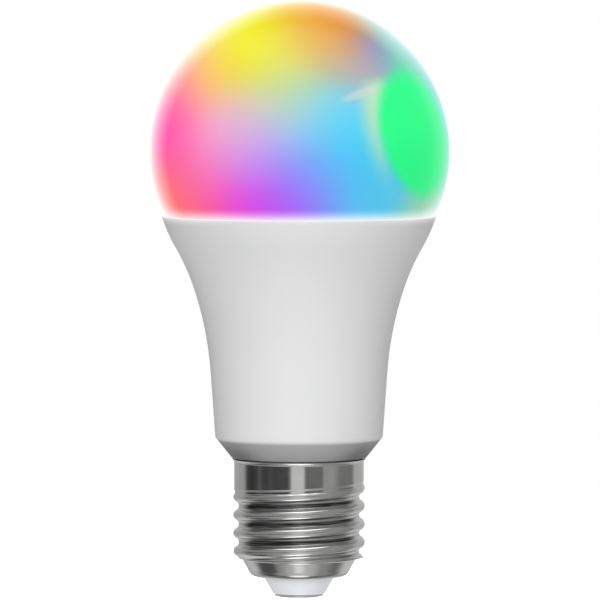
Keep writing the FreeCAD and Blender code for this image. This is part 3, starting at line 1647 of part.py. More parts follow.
def cap_insulator():
    """White insulator: a cone between the shell and the contact, with a flange inside the shell."""
    body = new_body("cap_insulator")
    bore = "shank_radius + shank_gap"
    floor = "shell_floor + shell_wall"
    revolve(
        body,
        "insulator",
        [
            (bore, "insulator_bottom"),
            ("insulator_bottom_radius - insulator_edge", "insulator_bottom"),
            ("insulator_bottom_radius", "insulator_bottom + insulator_edge", "insulator_edge", 1),
            ("insulator_top_radius", "shell_floor - 0.1"),
            ("insulator_top_radius", floor),
            ("insulator_flange", floor),
            ("insulator_flange", "insulator_flange_top - 0.5"),
            ("insulator_flange - 0.5", "insulator_flange_top"),
            (bore, "insulator_flange_top"),
        ],
    )


def centre_contact():
    """Centre contact: a crowned rivet head with a flat tip, and a shank that holds the insulator's bore."""
    body = new_body("centre_contact")
    rise = "(contact_radius - contact_flat)"
    crown = f"({rise}^2 + contact_crown^2) / (2 * contact_crown)"
    revolve(
        body,
        "rivet",
        [
            ("0", "0"),
            ("contact_flat", "0"),
            ("contact_radius", "contact_crown", crown, 1),
            ("contact_radius", "contact_edge"),
            ("contact_seat_radius", "contact_seat"),
            ("shank_radius", "contact_seat"),
            ("shank_radius", "shank_top"),
            ("0", "shank_top"),
        ],
    )


# ---------------------------------------------------------------- the model


def build():
    diffuser_dome()
    dome_sealant()
    housing_shell()
    heat_sink_cup()
    thermal_paste()
    led_board()
    white_leds("warm_led_packages", "0")
    white_phosphor("warm_led_phosphor", "0")
    white_leds("cool_led_packages", "white_pitch_half")
    white_phosphor("cool_led_phosphor", "white_pitch_half")
    colour_leds()
    for label, angle in (("red_led_dies", "90"), ("green_led_dies", "210"), ("blue_led_dies", "330")):
        colour_dies(label, angle)
    colour_lenses()
    led_board_screws()
    header_pins()
    header_body()
    header_socket()
    driver_sleeve()
    driver_board()
    electrolytic("bulk_capacitor", "bulk_radius", "bulk_length", "bulk_across", "bulk_bottom", 1)
    electrolytic("output_capacitor", "output_radius", "output_length", "output_across", "output_bottom", -1)
    transformer()
    filter_choke()
    fusible_resistor()
    varistor()
    film_capacitor()
    chip("rectifier_bridge", "bridge_width", "bridge_height", "bridge_thickness", "bridge_middle")
    chip("supply_chip", "chip_width", "chip_height", "chip_thickness", "supply_chip_middle")
    chip("dimmer_chip", "chip_width", "chip_height", "chip_thickness", "dimmer_chip_middle")
    chip_leads()
    surface_mount("smd_resistors", "resistor_column", "resistor_first", 8, 1, "resistor_thickness")
    surface_mount("smd_capacitors", "capacitor_column", "capacitor_first", 4, 2, "capacitor_thickness")
    component_leads()
    radio_module()
    live_wire()
    neutral_wire()
    solder_joints()
    screw_shell()
    cap_insulator()
    centre_contact()
    DOC.recompute()


def check():
    """Stops if any object failed, or any sub-part has no sound shape."""
    for thing in DOC.Objects:
        if "Invalid" in thing.State or "Error" in thing.State:
            raise RuntimeError(f"{thing.Label} failed: {thing.State}")
    for thing in SUB_PARTS:
        if thing.Shape.isNull() or not thing.Shape.isValid() or not thing.Shape.Solids:
            raise RuntimeError(f"{thing.Label} has no sound shape")


def export():
    os.makedirs("parts", exist_ok=True)
    for thing in SUB_PARTS:
        thing.Shape.exportStep(f"parts/{thing.Label}.step")
        print(f"{thing.Label}: {len(thing.Shape.Solids)} solids, {thing.Shape.Volume:.1f} mm3")


build()
check()
export()
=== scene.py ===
"""Looks of the smart light bulb, in metres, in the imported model's own frame.

The outside is made again as clean meshes: the opal dome, the flared housing, the screw shell with its rolled
thread, the insulator and the contact. The inner pieces keep their CAD meshes. Every piece has a procedural
material.
"""

import json
import math

import bpy
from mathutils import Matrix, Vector


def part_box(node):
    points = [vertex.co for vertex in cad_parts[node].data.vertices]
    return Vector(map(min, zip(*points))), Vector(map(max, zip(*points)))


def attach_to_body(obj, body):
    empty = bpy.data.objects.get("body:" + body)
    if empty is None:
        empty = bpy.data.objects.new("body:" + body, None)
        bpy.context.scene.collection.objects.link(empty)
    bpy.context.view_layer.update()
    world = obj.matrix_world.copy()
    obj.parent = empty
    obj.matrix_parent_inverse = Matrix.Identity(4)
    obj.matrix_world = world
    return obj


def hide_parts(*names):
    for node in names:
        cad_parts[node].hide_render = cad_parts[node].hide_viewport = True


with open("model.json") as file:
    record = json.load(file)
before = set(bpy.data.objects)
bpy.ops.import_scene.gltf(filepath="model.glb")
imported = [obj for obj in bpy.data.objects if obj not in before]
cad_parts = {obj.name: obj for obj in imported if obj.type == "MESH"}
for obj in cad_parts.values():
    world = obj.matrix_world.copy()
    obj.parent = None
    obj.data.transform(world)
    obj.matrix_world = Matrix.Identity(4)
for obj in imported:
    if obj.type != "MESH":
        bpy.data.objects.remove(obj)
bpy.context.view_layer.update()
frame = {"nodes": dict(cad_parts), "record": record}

MM = 0.001
BODY = "root"


# ------------------------------------------------------------------ main sizes
#
# In millimetres.

DOME_LOW, DOME_HIGH = [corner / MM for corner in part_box("diffuser_dome")]
HOUSING_LOW, HOUSING_HIGH = [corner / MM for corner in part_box("housing_shell")]
SHELL_LOW, SHELL_HIGH = [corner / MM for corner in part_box("screw_shell")]
CONTACT_TOP = (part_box("centre_contact")[1] / MM).z

DOME_RADIUS = (DOME_HIGH.y - DOME_LOW.y) / 2
DOME_CENTRE = DOME_HIGH.z - DOME_RADIUS
RIM_HEIGHT = HOUSING_HIGH.z
RIM_RADIUS = HOUSING_HIGH.x
LIP_HEIGHT = SHELL_HIGH.z
SHELL_FLOOR = SHELL_LOW.z

# The housing's conical foot, walls and neck.
FOOT_HEIGHT = 32.0
FOOT_LOW = 27.9
HOUSING_WALL = 1.3
FLARE_LOWER = 68.0
FLARE_UPPER = 44.4
SHOULDER = 33.0
RIB_COUNT = 6

# The cap's round thread.
PITCH = 3.629
ROOT = 12.0
CREST = 13.1
SKIRT = 12.93
SHEET = 0.35
FIRST_ROOT = 5.511
FULL_TURNS = 4
THREAD_FOOT = 8.0
THREAD_END = 25.0
BEND = ((CREST - ROOT) ** 2 + (PITCH / 2) ** 2) / (4 * (CREST - ROOT))

# The fine groove above the thread's last crest: how far above it, half width, width of its sides and depth.
GROOVE_RISE = 0.9
GROOVE_HALF = 0.55
GROOVE_SIDE = 0.27
GROOVE_DEPTH = 0.1

# How finely the turned pieces are divided around the axis and along their outline.
AROUND = 192
AROUND_SMALL = 128
ALONG = 0.7


# ---------------------------------------------------------------- outlines
#
# An outline is a list of (radius, height) corners in millimetres. A corner (radius, height, rounding) is
# rounded off, and a corner (radius, height, arc radius, turn) ends an arc: turn 1 is counter-clockwise and -1
# is clockwise.


def arc(start, end, radius, turn, spacing):
    """Points along the short arc from start to end, without start itself."""
    a, b = Vector(start), Vector(end)
    chord = b - a
    across = Vector((-chord.y, chord.x)).normalized() * turn
    centre = (a + b) / 2 + across * math.sqrt(max(radius**2 - chord.length_squared / 4, 0))
    first = math.atan2(a.y - centre.y, a.x - centre.x)
    sweep = 2 * math.asin(min(1.0, chord.length / 2 / radius)) * turn
    count = max(4, math.ceil(radius * abs(sweep) / spacing))
    angles = [first + sweep * i / count for i in range(1, count + 1)]
    return [(centre.x + radius * math.cos(t), centre.y + radius * math.sin(t)) for t in angles]


def line(start, end, spacing):
    """Points along a straight stretch, without start itself."""
    a, b = Vector(start), Vector(end)
    count = max(1, math.ceil((b - a).length / spacing))
    return [tuple(a.lerp(b, i / count)) for i in range(1, count + 1)]


def rounded_ends(before, corner, after):
    """Where the rounding of a corner starts and ends, and which way it turns."""
    p, q, r = Vector(before), Vector(corner[:2]), Vector(after)
    into, out = (p - q).normalized(), (r - q).normalized()
    cut = corner[2] / math.tan(into.angle(out) / 2)
    turn = 1 if (q - p).cross(r - q) > 0 else -1
    return tuple(q + into * cut), tuple(q + out * cut), turn


def trace(corners, spacing, closed=True):
    """All points of an outline, no further apart than the spacing."""
    points = []
    for i, corner in enumerate(corners):
        before, after = corners[i - 1][:2], corners[(i + 1) % len(corners)][:2]
        goal, bend = tuple(corner[:2]), []
        if len(corner) == 3:
            goal, leave, turn = rounded_ends(before, corner, after)
            bend = arc(goal, leave, corner[2], turn, min(spacing, corner[2] / 4))
        if not points:
            points = [goal]
        elif len(corner) == 4:
            points += arc(points[-1], goal, corner[2], corner[3], spacing)
        else:
            points += line(points[-1], goal, spacing)
        points += bend
    if closed:
        points += line(points[-1], points[0], spacing)[:-1]
    return points


# -------------------------------------------------------------- mesh pieces


def mesh_piece(name, points, faces, node, slot):
    """A smooth-shaded piece that rides on the lamp's body and stands for one CAD node."""
    mesh = bpy.data.meshes.new(name)
    mesh.from_pydata(points, [], faces)
    mesh.update()
    mesh.shade_smooth()
    piece = bpy.data.objects.new(name, mesh)
    bpy.context.scene.collection.objects.link(piece)
    piece.data.materials.append(MATERIALS[slot])
    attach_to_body(piece, BODY)
    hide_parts(node)
    return piece


def turned(profile, segments, shape=None):
    """Vertices and faces of a closed outline turned about Z, in metres.

    A point on the axis becomes one vertex. shape(radius, height, angle) may change a point's radius.
    """
    points, rings = [], []
    for radius, height in profile:
        if radius < 1e-6:
            rings.append([len(points)] * segments)
            points.append((0.0, 0.0, height * MM))
            continue
        rings.append(range(len(points), len(points) + segments))
        for i in range(segments):
            t = 2 * math.pi * i / segments
            r = shape(radius, height, t) if shape else radius
            points.append((r * math.cos(t) * MM, r * math.sin(t) * MM, height * MM))
    faces = []
    for low, high in zip(rings, rings[1:] + rings[:1]):
        for i in range(segments):
            j = (i + 1) % segments
            corners = (low[i], low[j], high[j], high[i])
            face = [v for n, v in enumerate(corners) if v != corners[n - 1]]
            if len(face) > 2:
                faces.append(face)
    return points, faces


# ------------------------------------------------------------ shader building


def attach(tree, source, socket):
    """Links a socket to an input, or sets the input to a plain value."""
    if isinstance(source, bpy.types.NodeSocket):
        tree.links.new(source, socket)
    elif source is not None:
        socket.default_value = source


def add(tree, kind, inputs=None, **settings):
    """A node with its settings made and its inputs, named by socket, attached."""
    made = tree.nodes.new(kind)
    for name, setting in settings.items():
        setattr(made, name, setting)
    for name, source in (inputs or {}).items():
        attach(tree, source, made.inputs[name])
    return made


def maths(tree, operation, *values):
    made = add(tree, "ShaderNodeMath", operation=operation)
    for socket, source in zip(made.inputs, values):
        attach(tree, source, socket)
    return made.outputs[0]


def product(tree, first, *others):
    """All the values multiplied together."""
    for other in others:
        first = maths(tree, "MULTIPLY", first, other)
    return first


def vectors(tree, operation, *values):
    made = add(tree, "ShaderNodeVectorMath", operation=operation)
    for socket, source in zip(made.inputs, values):
        attach(tree, source, socket)
    return made.outputs["Value" if operation in ("DOT_PRODUCT", "LENGTH") else "Vector"]


def smooth(tree, value, low, high):
    """0 at low and 1 at high, with a smooth step between them; low may be above high."""
    made = add(
        tree,
        "ShaderNodeMapRange",
        {"Value": value, "From Min": low, "From Max": high},
        interpolation_type="SMOOTHSTEP",
    )
    return made.outputs["Result"]


def scaled(tree, value, low, high):
    """A value between 0 and 1 brought to a range."""
    made = add(tree, "ShaderNodeMapRange", {"Value": value, "To Min": low, "To Max": high})
    return made.outputs["Result"]


def blend(tree, factor, first, second):
    """Mix of two colours."""
    made = add(tree, "ShaderNodeMix", data_type="RGBA")
    for socket, source in zip((made.inputs[0], made.inputs[6], made.inputs[7]), (factor, first, second)):
        attach(tree, source, socket)
    return made.outputs[2]


def position(tree):
    """Place on the lamp, in metres, in the lamp's own frame."""
    return add(tree, "ShaderNodeTexCoord").outputs["Object"]


def height_of(tree, where):
    return add(tree, "ShaderNodeSeparateXYZ", {"Vector": where}).outputs["Z"]


def off_axis(tree, where):
    """Distance from the lamp's axis."""
    return vectors(tree, "LENGTH", vectors(tree, "MULTIPLY", where, (1, 1, 0)))


def noise(tree, where, scale, detail=3.0, stretch=None):
    """Noise between 0 and 1; scale is in cycles per metre."""
    if stretch:
        where = vectors(tree, "MULTIPLY", where, stretch)
    made = add(tree, "ShaderNodeTexNoise", {"Vector": where, "Scale": scale, "Detail": detail})
    return smooth(tree, made.outputs["Fac"], 0.25, 0.75)


def turned_away(tree):
    """0 where the surface faces the eye, up to 1 on its outline."""
    return add(tree, "ShaderNodeLayerWeight", {"Blend": 0.5}).outputs["Facing"]


def relief(tree, height, strength, depth):
    """Normal of a bumped surface; depth is in millimetres."""
    made = add(tree, "ShaderNodeBump", {"Height": height, "Strength": strength, "Distance": depth * MM})
    return made.outputs["Normal"]


def tone(red, green, blue):
    return (red, green, blue, 1.0)


def new_material(name, **numbers):
    """A Principled material; numbers are set on its sockets, with _ for a space in a socket's name."""
    material = bpy.data.materials.new(name)
    material.use_nodes = True
    tree = material.node_tree
    shader = tree.nodes["Principled BSDF"]
    for socket, number in numbers.items():
        shader.inputs[socket.replace("_", " ")].default_value = number
    return material, tree, shader


def grained(name, first, second, patches, gloss, grain, strength, **numbers):
    """A surface of two close tones in patches, with a fine grain that varies its gloss and its relief.

    patches and grain are in cycles per metre, and gloss is the range of the roughness.
    """
    material, tree, shader = new_material(name, **numbers)
    where = position(tree)
    attach(tree, blend(tree, noise(tree, where, patches), first, second), shader.inputs["Base Color"])
    fine = noise(tree, where, grain)
    attach(tree, scaled(tree, fine, *gloss), shader.inputs["Roughness"])
    attach(tree, relief(tree, fine, strength, 0.02), shader.inputs["Normal"])
    return material, tree, shader


# ------------------------------------------------------------------ directions


def direction(azimuth, elevation):
    """Unit vector for an azimuth from the front, -Y, towards +X, and an elevation, in degrees."""
    a, e = math.radians(azimuth), math.radians(elevation)
    return Vector((math.sin(a) * math.cos(e), -math.cos(a) * math.cos(e), math.sin(e)))


def within(tree, outward, place, outer, inner):
    """1 within inner degrees of a direction, falling smoothly to 0 at outer degrees."""
    near = vectors(tree, "DOT_PRODUCT", outward, direction(*place))
    return smooth(tree, near, math.cos(math.radians(outer)), math.cos(math.radians(inner)))


def angles(tree, outward):
    """Azimuth and elevation of a direction, in degrees."""
    parts = add(tree, "ShaderNodeSeparateXYZ", {"Vector": outward}).outputs
    azimuth = maths(tree, "ARCTAN2", parts["X"], maths(tree, "MULTIPLY", parts["Y"], -1.0))
    elevation = maths(tree, "ARCSINE", parts["Z"])
    return maths(tree, "DEGREES", azimuth), maths(tree, "DEGREES", elevation)


# -------------------------------------------------------------- dome material

# The colour LEDs' glows on the dome: azimuth and elevation in degrees, how tight each glow is, and its colour
# as it looks on a screen.
GLOWS = [
    ("yellow", -27, 46, 22, (0.90, 0.99, 0.02)),
    ("gold", 0, 55, 24, (0.90, 0.72, 0.20)),
    ("orange", 27, 58, 26, (0.92, 0.50, 0.20)),
    ("mauve", 42, 43, 70, (0.54, 0.50, 0.92)),
    ("pale azure", 70, 46, 34, (0.45, 0.74, 0.80)),
    ("pale teal", 56, 36, 40, (0.42, 0.92, 0.68)),
    ("sand", 18, 42, 34, (0.80, 0.62, 0.42)),
    ("lime grey", -8, 28, 26, (0.82, 0.86, 0.44)),
    ("lemon", -60, 50, 30, (0.95, 1.00, 0.50)),
    ("pale cyan", -2, 16, 28, (0.62, 0.82, 0.92)),
    ("silver", 28, 33, 50, (0.69, 0.68, 0.80)),
    ("sky top", 16, 17, 40, (0.44, 0.83, 0.97)),
    ("sky", 18, 4, 24, (0.24, 0.84, 0.98)),
    ("azure", 26, -18, 18, (0.34, 0.79, 0.96)),
    ("pale sea", 64, -22, 30, (0.60, 0.86, 0.68)),
    ("periwinkle", 2, -7, 26, (0.48, 0.58, 1.00)),
    ("violet", -4, -21, 26, (0.70, 0.30, 0.99)),
    ("magenta", -21, -22, 26, (0.93, 0.20, 0.90)),
    ("lavender", -18, 0, 26, (0.80, 0.60, 0.98)),
    ("pale mauve", -28, 12, 28, (0.93, 0.75, 0.85)),
    ("pink", -42, 0, 22, (1.02, 0.50, 0.74)),
    ("peach", -40, 34, 24, (0.97, 0.80, 0.36)),
    ("salmon", -60, 31, 26, (1.03, 0.58, 0.68)),
    ("hot pink", -60, 10, 24, (1.05, 0.26, 0.70)),
    ("rose", -42, -22, 24, (1.02, 0.38, 0.55)),
    ("coral", -62, -20, 24, (1.05, 0.47, 0.39)),
    # The side that faces away.
    ("aqua", 98, 4, 14, (0.30, 0.88, 0.90)),
    ("back blue", 128, 14, 10, (0.36, 0.58, 1.00)),
    ("back violet", 150, -18, 12, (0.68, 0.38, 0.97)),
    ("back gold", 172, 40, 10, (0.96, 0.84, 0.30)),
    ("back pink", 180, 4, 10, (1.00, 0.44, 0.74)),
    ("back orange", -148, -6, 10, (1.00, 0.62, 0.36)),
    ("back lime", -122, 30, 10, (0.74, 0.93, 0.36)),
    ("back coral", -100, 2, 14, (1.00, 0.48, 0.52)),
]

# The green patch and the painted highlight beside it, a pale glint, as seen from the front: middle and half
# widths, as shares of the dome's radius, and lean.
GREEN_OVAL = ((0.755, 0.125), (0.22, 0.405), -0.20)
PAINTED_GLINT_OVAL = ((0.415, 0.40), (0.10, 0.062), 2.0)


def mixed_glows(tree, outward):
    """The glows' colours, each weighted by how near it is."""
    weights, colours = None, None
    for _, azimuth, elevation, tightness, colour in GLOWS:
        near = vectors(tree, "DOT_PRODUCT", outward, direction(azimuth, elevation))
        weight = maths(tree, "EXPONENT", maths(tree, "MULTIPLY_ADD", near, tightness, -tightness))
        part = vectors(tree, "MULTIPLY", weight, colour)
        weights = maths(tree, "ADD", weights, weight) if weights else weight
        colours = vectors(tree, "ADD", colours, part) if colours else part
    return vectors(tree, "DIVIDE", colours, weights)


def oval(tree, outward, centre, reach, lean):
    """Distance from the middle of a leaning oval on the dome's front, as seen from there: 1 on its edge."""
    parts = add(tree, "ShaderNodeSeparateXYZ", {"Vector": outward}).outputs
    up = maths(tree, "SUBTRACT", parts["Z"], centre[1])
    across = maths(tree, "SUBTRACT", parts["X"], maths(tree, "MULTIPLY_ADD", up, lean, centre[0]))
    distance = maths(
        tree,
        "ADD",
        maths(tree, "POWER", maths(tree, "ABSOLUTE", maths(tree, "DIVIDE", across, reach[0])), 2.0),
        maths(tree, "POWER", maths(tree, "ABSOLUTE", maths(tree, "DIVIDE", up, reach[1])), 2.0),
    )
    behind = smooth(tree, parts["Y"], -0.1, 0.1)
    return maths(tree, "MULTIPLY_ADD", behind, 9.0, maths(tree, "SQRT", distance))


def with_patches(tree, outward, parts, green, field):
    """The dome's colours with the green oval, the pale border on its left and the painted highlight laid over
    them.
    """
    border = product(
        tree,
        smooth(tree, green, 1.75, 1.12),
        smooth(tree, parts["X"], 0.66, 0.52),
        smooth(tree, parts["Z"], -0.5, 0.4),
        smooth(tree, parts["Z"], 0.54, 0.42),
    )
    field = blend(tree, border, field, tone(0.72, 0.90, 0.74))
    # painted highlight: a pale glint laid over the dome's colours
    painted_glint = smooth(tree, oval(tree, outward, *PAINTED_GLINT_OVAL), 1.2, 0.4)
    field = blend(tree, product(tree, painted_glint, 0.62), field, tone(0.80, 0.85, 0.83))
    return blend(tree, smooth(tree, green, 1.2, 0.8), field, tone(0.19, 1.0, 0.55))


def with_pale_foot_and_painted_sheen(tree, where, parts, green, field):
    """The colours paled at the dome's foot, and a painted white sheen towards the outline, less at the top, on
    the right and on the green.
    """
    low = RIM_HEIGHT * MM
    foot = smooth(tree, height_of(tree, where), low + 2.7 * MM, low - 0.5 * MM)
    foot = product(tree, maths(tree, "POWER", foot, 1.3), 0.86)
    field = blend(tree, foot, field, tone(1.03, 1.03, 1.03))
    # painted sheen: white laid over the colours towards the dome's outline
    away = {"Value": turned_away(tree), "From Min": 0.52, "From Max": 0.92}
    outline = add(tree, "ShaderNodeMapRange", away).outputs["Result"]
    less = maths(tree, "MULTIPLY_ADD", parts["X"], -0.15, 1.0)
    less = maths(tree, "MULTIPLY_ADD", parts["Z"], -0.29, less)
    held = maths(tree, "MULTIPLY_ADD", smooth(tree, green, 1.5, 0.9), -0.42, 1.0)
    return blend(tree, product(tree, outline, less, held), field, tone(1.06, 1.06, 1.06))


def opal_diffuser():
    """Satin opal plastic, lit from inside in many colours, paler at its foot, with a painted white sheen
    towards its outline.
    """
    material, tree, shader = new_material(
        "opal_diffuser", IOR=1.49, Specular_IOR_Level=0.25, Emission_Strength=0.66
    )
    where = position(tree)
    centre = Vector((0, 0, DOME_CENTRE * MM))
    outward = vectors(tree, "NORMALIZE", vectors(tree, "SUBTRACT", where, centre))
    parts = add(tree, "ShaderNodeSeparateXYZ", {"Vector": outward}).outputs
    green = oval(tree, outward, *GREEN_OVAL)
    field = with_patches(tree, outward, parts, green, mixed_glows(tree, outward))
    field = with_pale_foot_and_painted_sheen(tree, where, parts, green, field)

    light = add(tree, "ShaderNodeGamma", {"Color": field, "Gamma": 2.2}).outputs["Color"]
    light = vectors(tree, "SCALE", light)
    attach(tree, scaled(tree, noise(tree, where, 90.0), 0.98, 1.02), light.node.inputs["Scale"])
    attach(tree, light, shader.inputs["Emission Color"])
    attach(tree, vectors(tree, "MULTIPLY", light, (0.36, 0.36, 0.36)), shader.inputs["Base Color"])
    grain = noise(tree, where, 5200.0)
    attach(tree, scaled(tree, grain, 0.28, 0.36), shader.inputs["Roughness"])
    attach(tree, relief(tree, grain, 0.02, 0.02), shader.inputs["Normal"])
    return material


# ------------------------------------------------------------ outer materials


def white_housing():
    """Satin white plastic with a fine grain, painted shade on the conical foot, and a painted glow of the
    dome's light at its rim.
    """
    material, tree, shader = new_material(
        "white_housing", IOR=1.5, Specular_IOR_Level=0.35, Emission_Strength=0.2
    )
    where = position(tree)
    height = height_of(tree, where)
    away = turned_away(tree)
    white = blend(tree, noise(tree, where, 60.0), tone(0.845, 0.85, 0.85), tone(0.865, 0.865, 0.86))
    # painted shade on the conical foot: darker, more so towards the bottom and towards its outline
    foot = smooth(tree, height, (FOOT_HEIGHT - 0.05) * MM, (FOOT_HEIGHT - 0.75) * MM)
    depth = smooth(tree, height, FOOT_HEIGHT * MM, (FOOT_HEIGHT - 4.2) * MM)
    painted_shade = blend(tree, depth, tone(0.49, 0.49, 0.49), tone(0.38, 0.38, 0.38))
    shade = product(tree, smooth(tree, away, 0.30, 0.62), maths(tree, "MULTIPLY_ADD", depth, 0.65, 0.35))
    painted_shade = blend(tree, shade, painted_shade, tone(0.16, 0.16, 0.16))
    attach(tree, blend(tree, foot, white, painted_shade), shader.inputs["Base Color"])
    # painted glow: the dome's light painted on the housing's rim as emission
    rim = smooth(tree, height, (RIM_HEIGHT - 1.9) * MM, RIM_HEIGHT * MM)
    rim = product(tree, maths(tree, "POWER", rim, 2.0), smooth(tree, away, 0.05, 0.5))
    painted_rim_glow = blend(tree, rim, tone(0.0, 0.0, 0.0), tone(1.0, 1.0, 1.0))
    attach(tree, painted_rim_glow, shader.inputs["Emission Color"])
    grain = noise(tree, where, 4200.0)
    attach(tree, scaled(tree, grain, 0.42, 0.52), shader.inputs["Roughness"])
    attach(tree, relief(tree, grain, 0.05, 0.02), shader.inputs["Normal"])
    return material


def painted_root_shade(tree, where, radius, up, thread):
    """1 where the thread's roots get painted shade, but not at the outline, and further up each root on the
    left than the right.
    """
    side = add(tree, "ShaderNodeSeparateXYZ", {"Vector": where}).outputs["X"]
    tilted = maths(tree, "MULTIPLY_ADD", side, -0.32 / (CREST * MM), up)
    return product(
        tree,
        smooth(tree, radius, (ROOT + 0.7) * MM, (ROOT + 0.3) * MM),
        smooth(tree, tilted, -0.55, -0.2),
        smooth(tree, up, 0.66, 0.45),
        thread,
        smooth(tree, turned_away(tree), 0.72, 0.42),
    )


def nickel_plate():
    """Nickel plate: bright on the skirt, softer on the crests, with painted shade in the roots and at the
    cone's bend.
    """
    material, tree, shader = new_material("nickel_plate", Metallic=1.0)
    where = position(tree)
    radius = off_axis(tree, where)
    height = height_of(tree, where)
    up = height_of(tree, add(tree, "ShaderNodeNewGeometry").outputs["Normal"])
    thread = smooth(tree, height, (THREAD_FOOT + 0.1) * MM, (THREAD_FOOT + 1.0) * MM)
    patches = noise(tree, where, 260.0)
    bright = blend(tree, patches, tone(0.60, 0.597, 0.59), tone(0.66, 0.657, 0.65))
    # painted shade on the cone's bend, where it faces steeply down
    bend = product(
        tree,
        smooth(tree, up, -0.5, -0.6),
        smooth(tree, up, -0.92, -0.78),
        smooth(tree, height, 7.3 * MM, 6.9 * MM),
    )
    bright = blend(tree, bend, bright, tone(0.34, 0.34, 0.34))
    # painted shade in the thread's roots: dark, streaked colour
    streaks = noise(tree, where, 1100.0, stretch=(0.12, 0.12, 2.0))
    painted_shade = blend(tree, smooth(tree, streaks, 0.35, 0.65), tone(0.05, 0.05, 0.05), tone(0.15, 0.15, 0.15))
    root = painted_root_shade(tree, where, radius, up, thread)
    attach(tree, blend(tree, root, bright, painted_shade), shader.inputs["Base Color"])
    lines = noise(tree, where, 900.0, stretch=(0.08, 0.08, 3.0))
    gloss = maths(tree, "ADD", scaled(tree, lines, 0.0, 0.03), scaled(tree, patches, 0.06, 0.10))
    crest = product(tree, smooth(tree, radius, (SKIRT + 0.02) * MM, (SKIRT + 0.1) * MM), thread)
    attach(tree, maths(tree, "MULTIPLY_ADD", crest, 0.12, gloss), shader.inputs["Roughness"])
    attach(tree, relief(tree, lines, 0.03, 0.02), shader.inputs["Normal"])
    return material


def insulator():
    """Glossy white insulator, slightly blue, with a faint painted glow."""
    return grained(
        "insulator",
        tone(0.83, 0.86, 0.895),
        tone(0.87, 0.89, 0.92),
        300.0,
        (0.12, 0.25),
        900.0,
        0.02,
        IOR=1.5,
        # painted glow: faint emission that lightens the insulator
        Emission_Color=tone(0.97, 0.98, 1.0),
        Emission_Strength=0.12,
    )[0]


def contact_metal():
    """Tinned contact, satin, with fine turning marks."""
    material, tree, shader = new_material("contact_metal", Metallic=1.0)
    where = position(tree)
    patches = noise(tree, where, 300.0)
    turning = {"Scale": 2500.0, "W": off_axis(tree, where)}
    marks = add(tree, "ShaderNodeTexNoise", turning, noise_dimensions="1D").outputs["Fac"]
    base = blend(tree, marks, tone(0.72, 0.73, 0.74), tone(0.82, 0.83, 0.84))
    attach(tree, base, shader.inputs["Base Color"])
    attach(tree, scaled(tree, patches, 0.2, 0.38), shader.inputs["Roughness"])
    attach(tree, relief(tree, marks, 0.1, 0.02), shader.inputs["Normal"])
    return material


# ------------------------------------------------------------ inner materials


def silicone():
    """White silicone sealant, soft and slightly translucent."""
    return grained(
        "silicone", tone(0.78, 0.78, 0.76), tone(0.84, 0.84, 0.82), 400.0, (0.4, 0.55), 1500.0, 0.2
    )[0]


def bare_aluminium():
    """Drawn aluminium with fine marks along its height."""
    material, tree, shader = new_material("bare_aluminium", Metallic=1.0)
    where = position(tree)
    marks = noise(tree, where, 2200.0, stretch=(1.0, 1.0, 0.06))
    base = blend(tree, marks, tone(0.72, 0.73, 0.74), tone(0.80, 0.81, 0.82))
    attach(tree, base, shader.inputs["Base Color"])
    attach(tree, scaled(tree, noise(tree, where, 300.0), 0.26, 0.42), shader.inputs["Roughness"])
    attach(tree, relief(tree, marks, 0.12, 0.02), shader.inputs["Normal"])
    return material


def thermal_paste():
    """Grey thermal paste, smeared."""
    return grained(
        "thermal_paste", tone(0.50, 0.51, 0.52), tone(0.62, 0.63, 0.64), 500.0, (0.5, 0.7), 1200.0, 0.4
    )[0]


def track_lines(tree, coordinate, spacing):
    """Thin lines across a coordinate: 1 on a line."""
    return smooth(tree, maths(tree, "PINGPONG", coordinate, spacing / 2), 0.17 * spacing, 0.12 * spacing)


def tracked_board(name, mask, copper, spacing):
    """Solder mask over copper tracks: thin raised lines in patches, some up the board and some across it."""
    material, tree, shader = new_material(name, IOR=1.5)
    where = position(tree)
    parts = add(tree, "ShaderNodeSeparateXYZ", {"Vector": where}).outputs
    along = maths(tree, "ADD", parts["Y"], parts["Z"])
    patch = noise(tree, where, 160.0, detail=1.0)
    up = product(tree, track_lines(tree, parts["X"], spacing), smooth(tree, patch, 0.50, 0.52))
    across = product(tree, track_lines(tree, along, spacing), smooth(tree, patch, 0.46, 0.44))
    tracks = maths(tree, "MAXIMUM", up, across)
    cloud = scaled(tree, noise(tree, where, 180.0), 0.6, 0.9)
    attach(tree, blend(tree, product(tree, tracks, cloud), mask, copper), shader.inputs["Base Color"])
    attach(tree, scaled(tree, noise(tree, where, 700.0), 0.22, 0.36), shader.inputs["Roughness"])
    attach(tree, relief(tree, tracks, 0.3, 0.04), shader.inputs["Normal"])
    return material


def white_board():
    """Aluminium LED board under white solder mask."""
    return tracked_board("white_board", tone(0.80, 0.81, 0.80), tone(0.70, 0.71, 0.69), 1.4 * MM)


def green_board():
    """Fibreglass board under green solder mask."""
    return tracked_board("green_board", tone(0.02, 0.16, 0.06), tone(0.06, 0.30, 0.11), 0.9 * MM)


def led_package():
    """White reflector cup of an LED."""
    return grained(
        "led_package", tone(0.80, 0.80, 0.78), tone(0.87, 0.87, 0.86), 900.0, (0.3, 0.45), 3000.0, 0.05
    )[0]


def phosphor(name, first, second):
    """Phosphor grains in clear resin."""
    return grained(name, first, second, 4500.0, (0.22, 0.35), 9000.0, 0.2, IOR=1.5)[0]


def warm_phosphor():
    return phosphor("warm_phosphor", tone(0.85, 0.42, 0.06), tone(0.92, 0.55, 0.10))


def cool_phosphor():
    return phosphor("cool_phosphor", tone(0.86, 0.74, 0.10), tone(0.93, 0.84, 0.22))


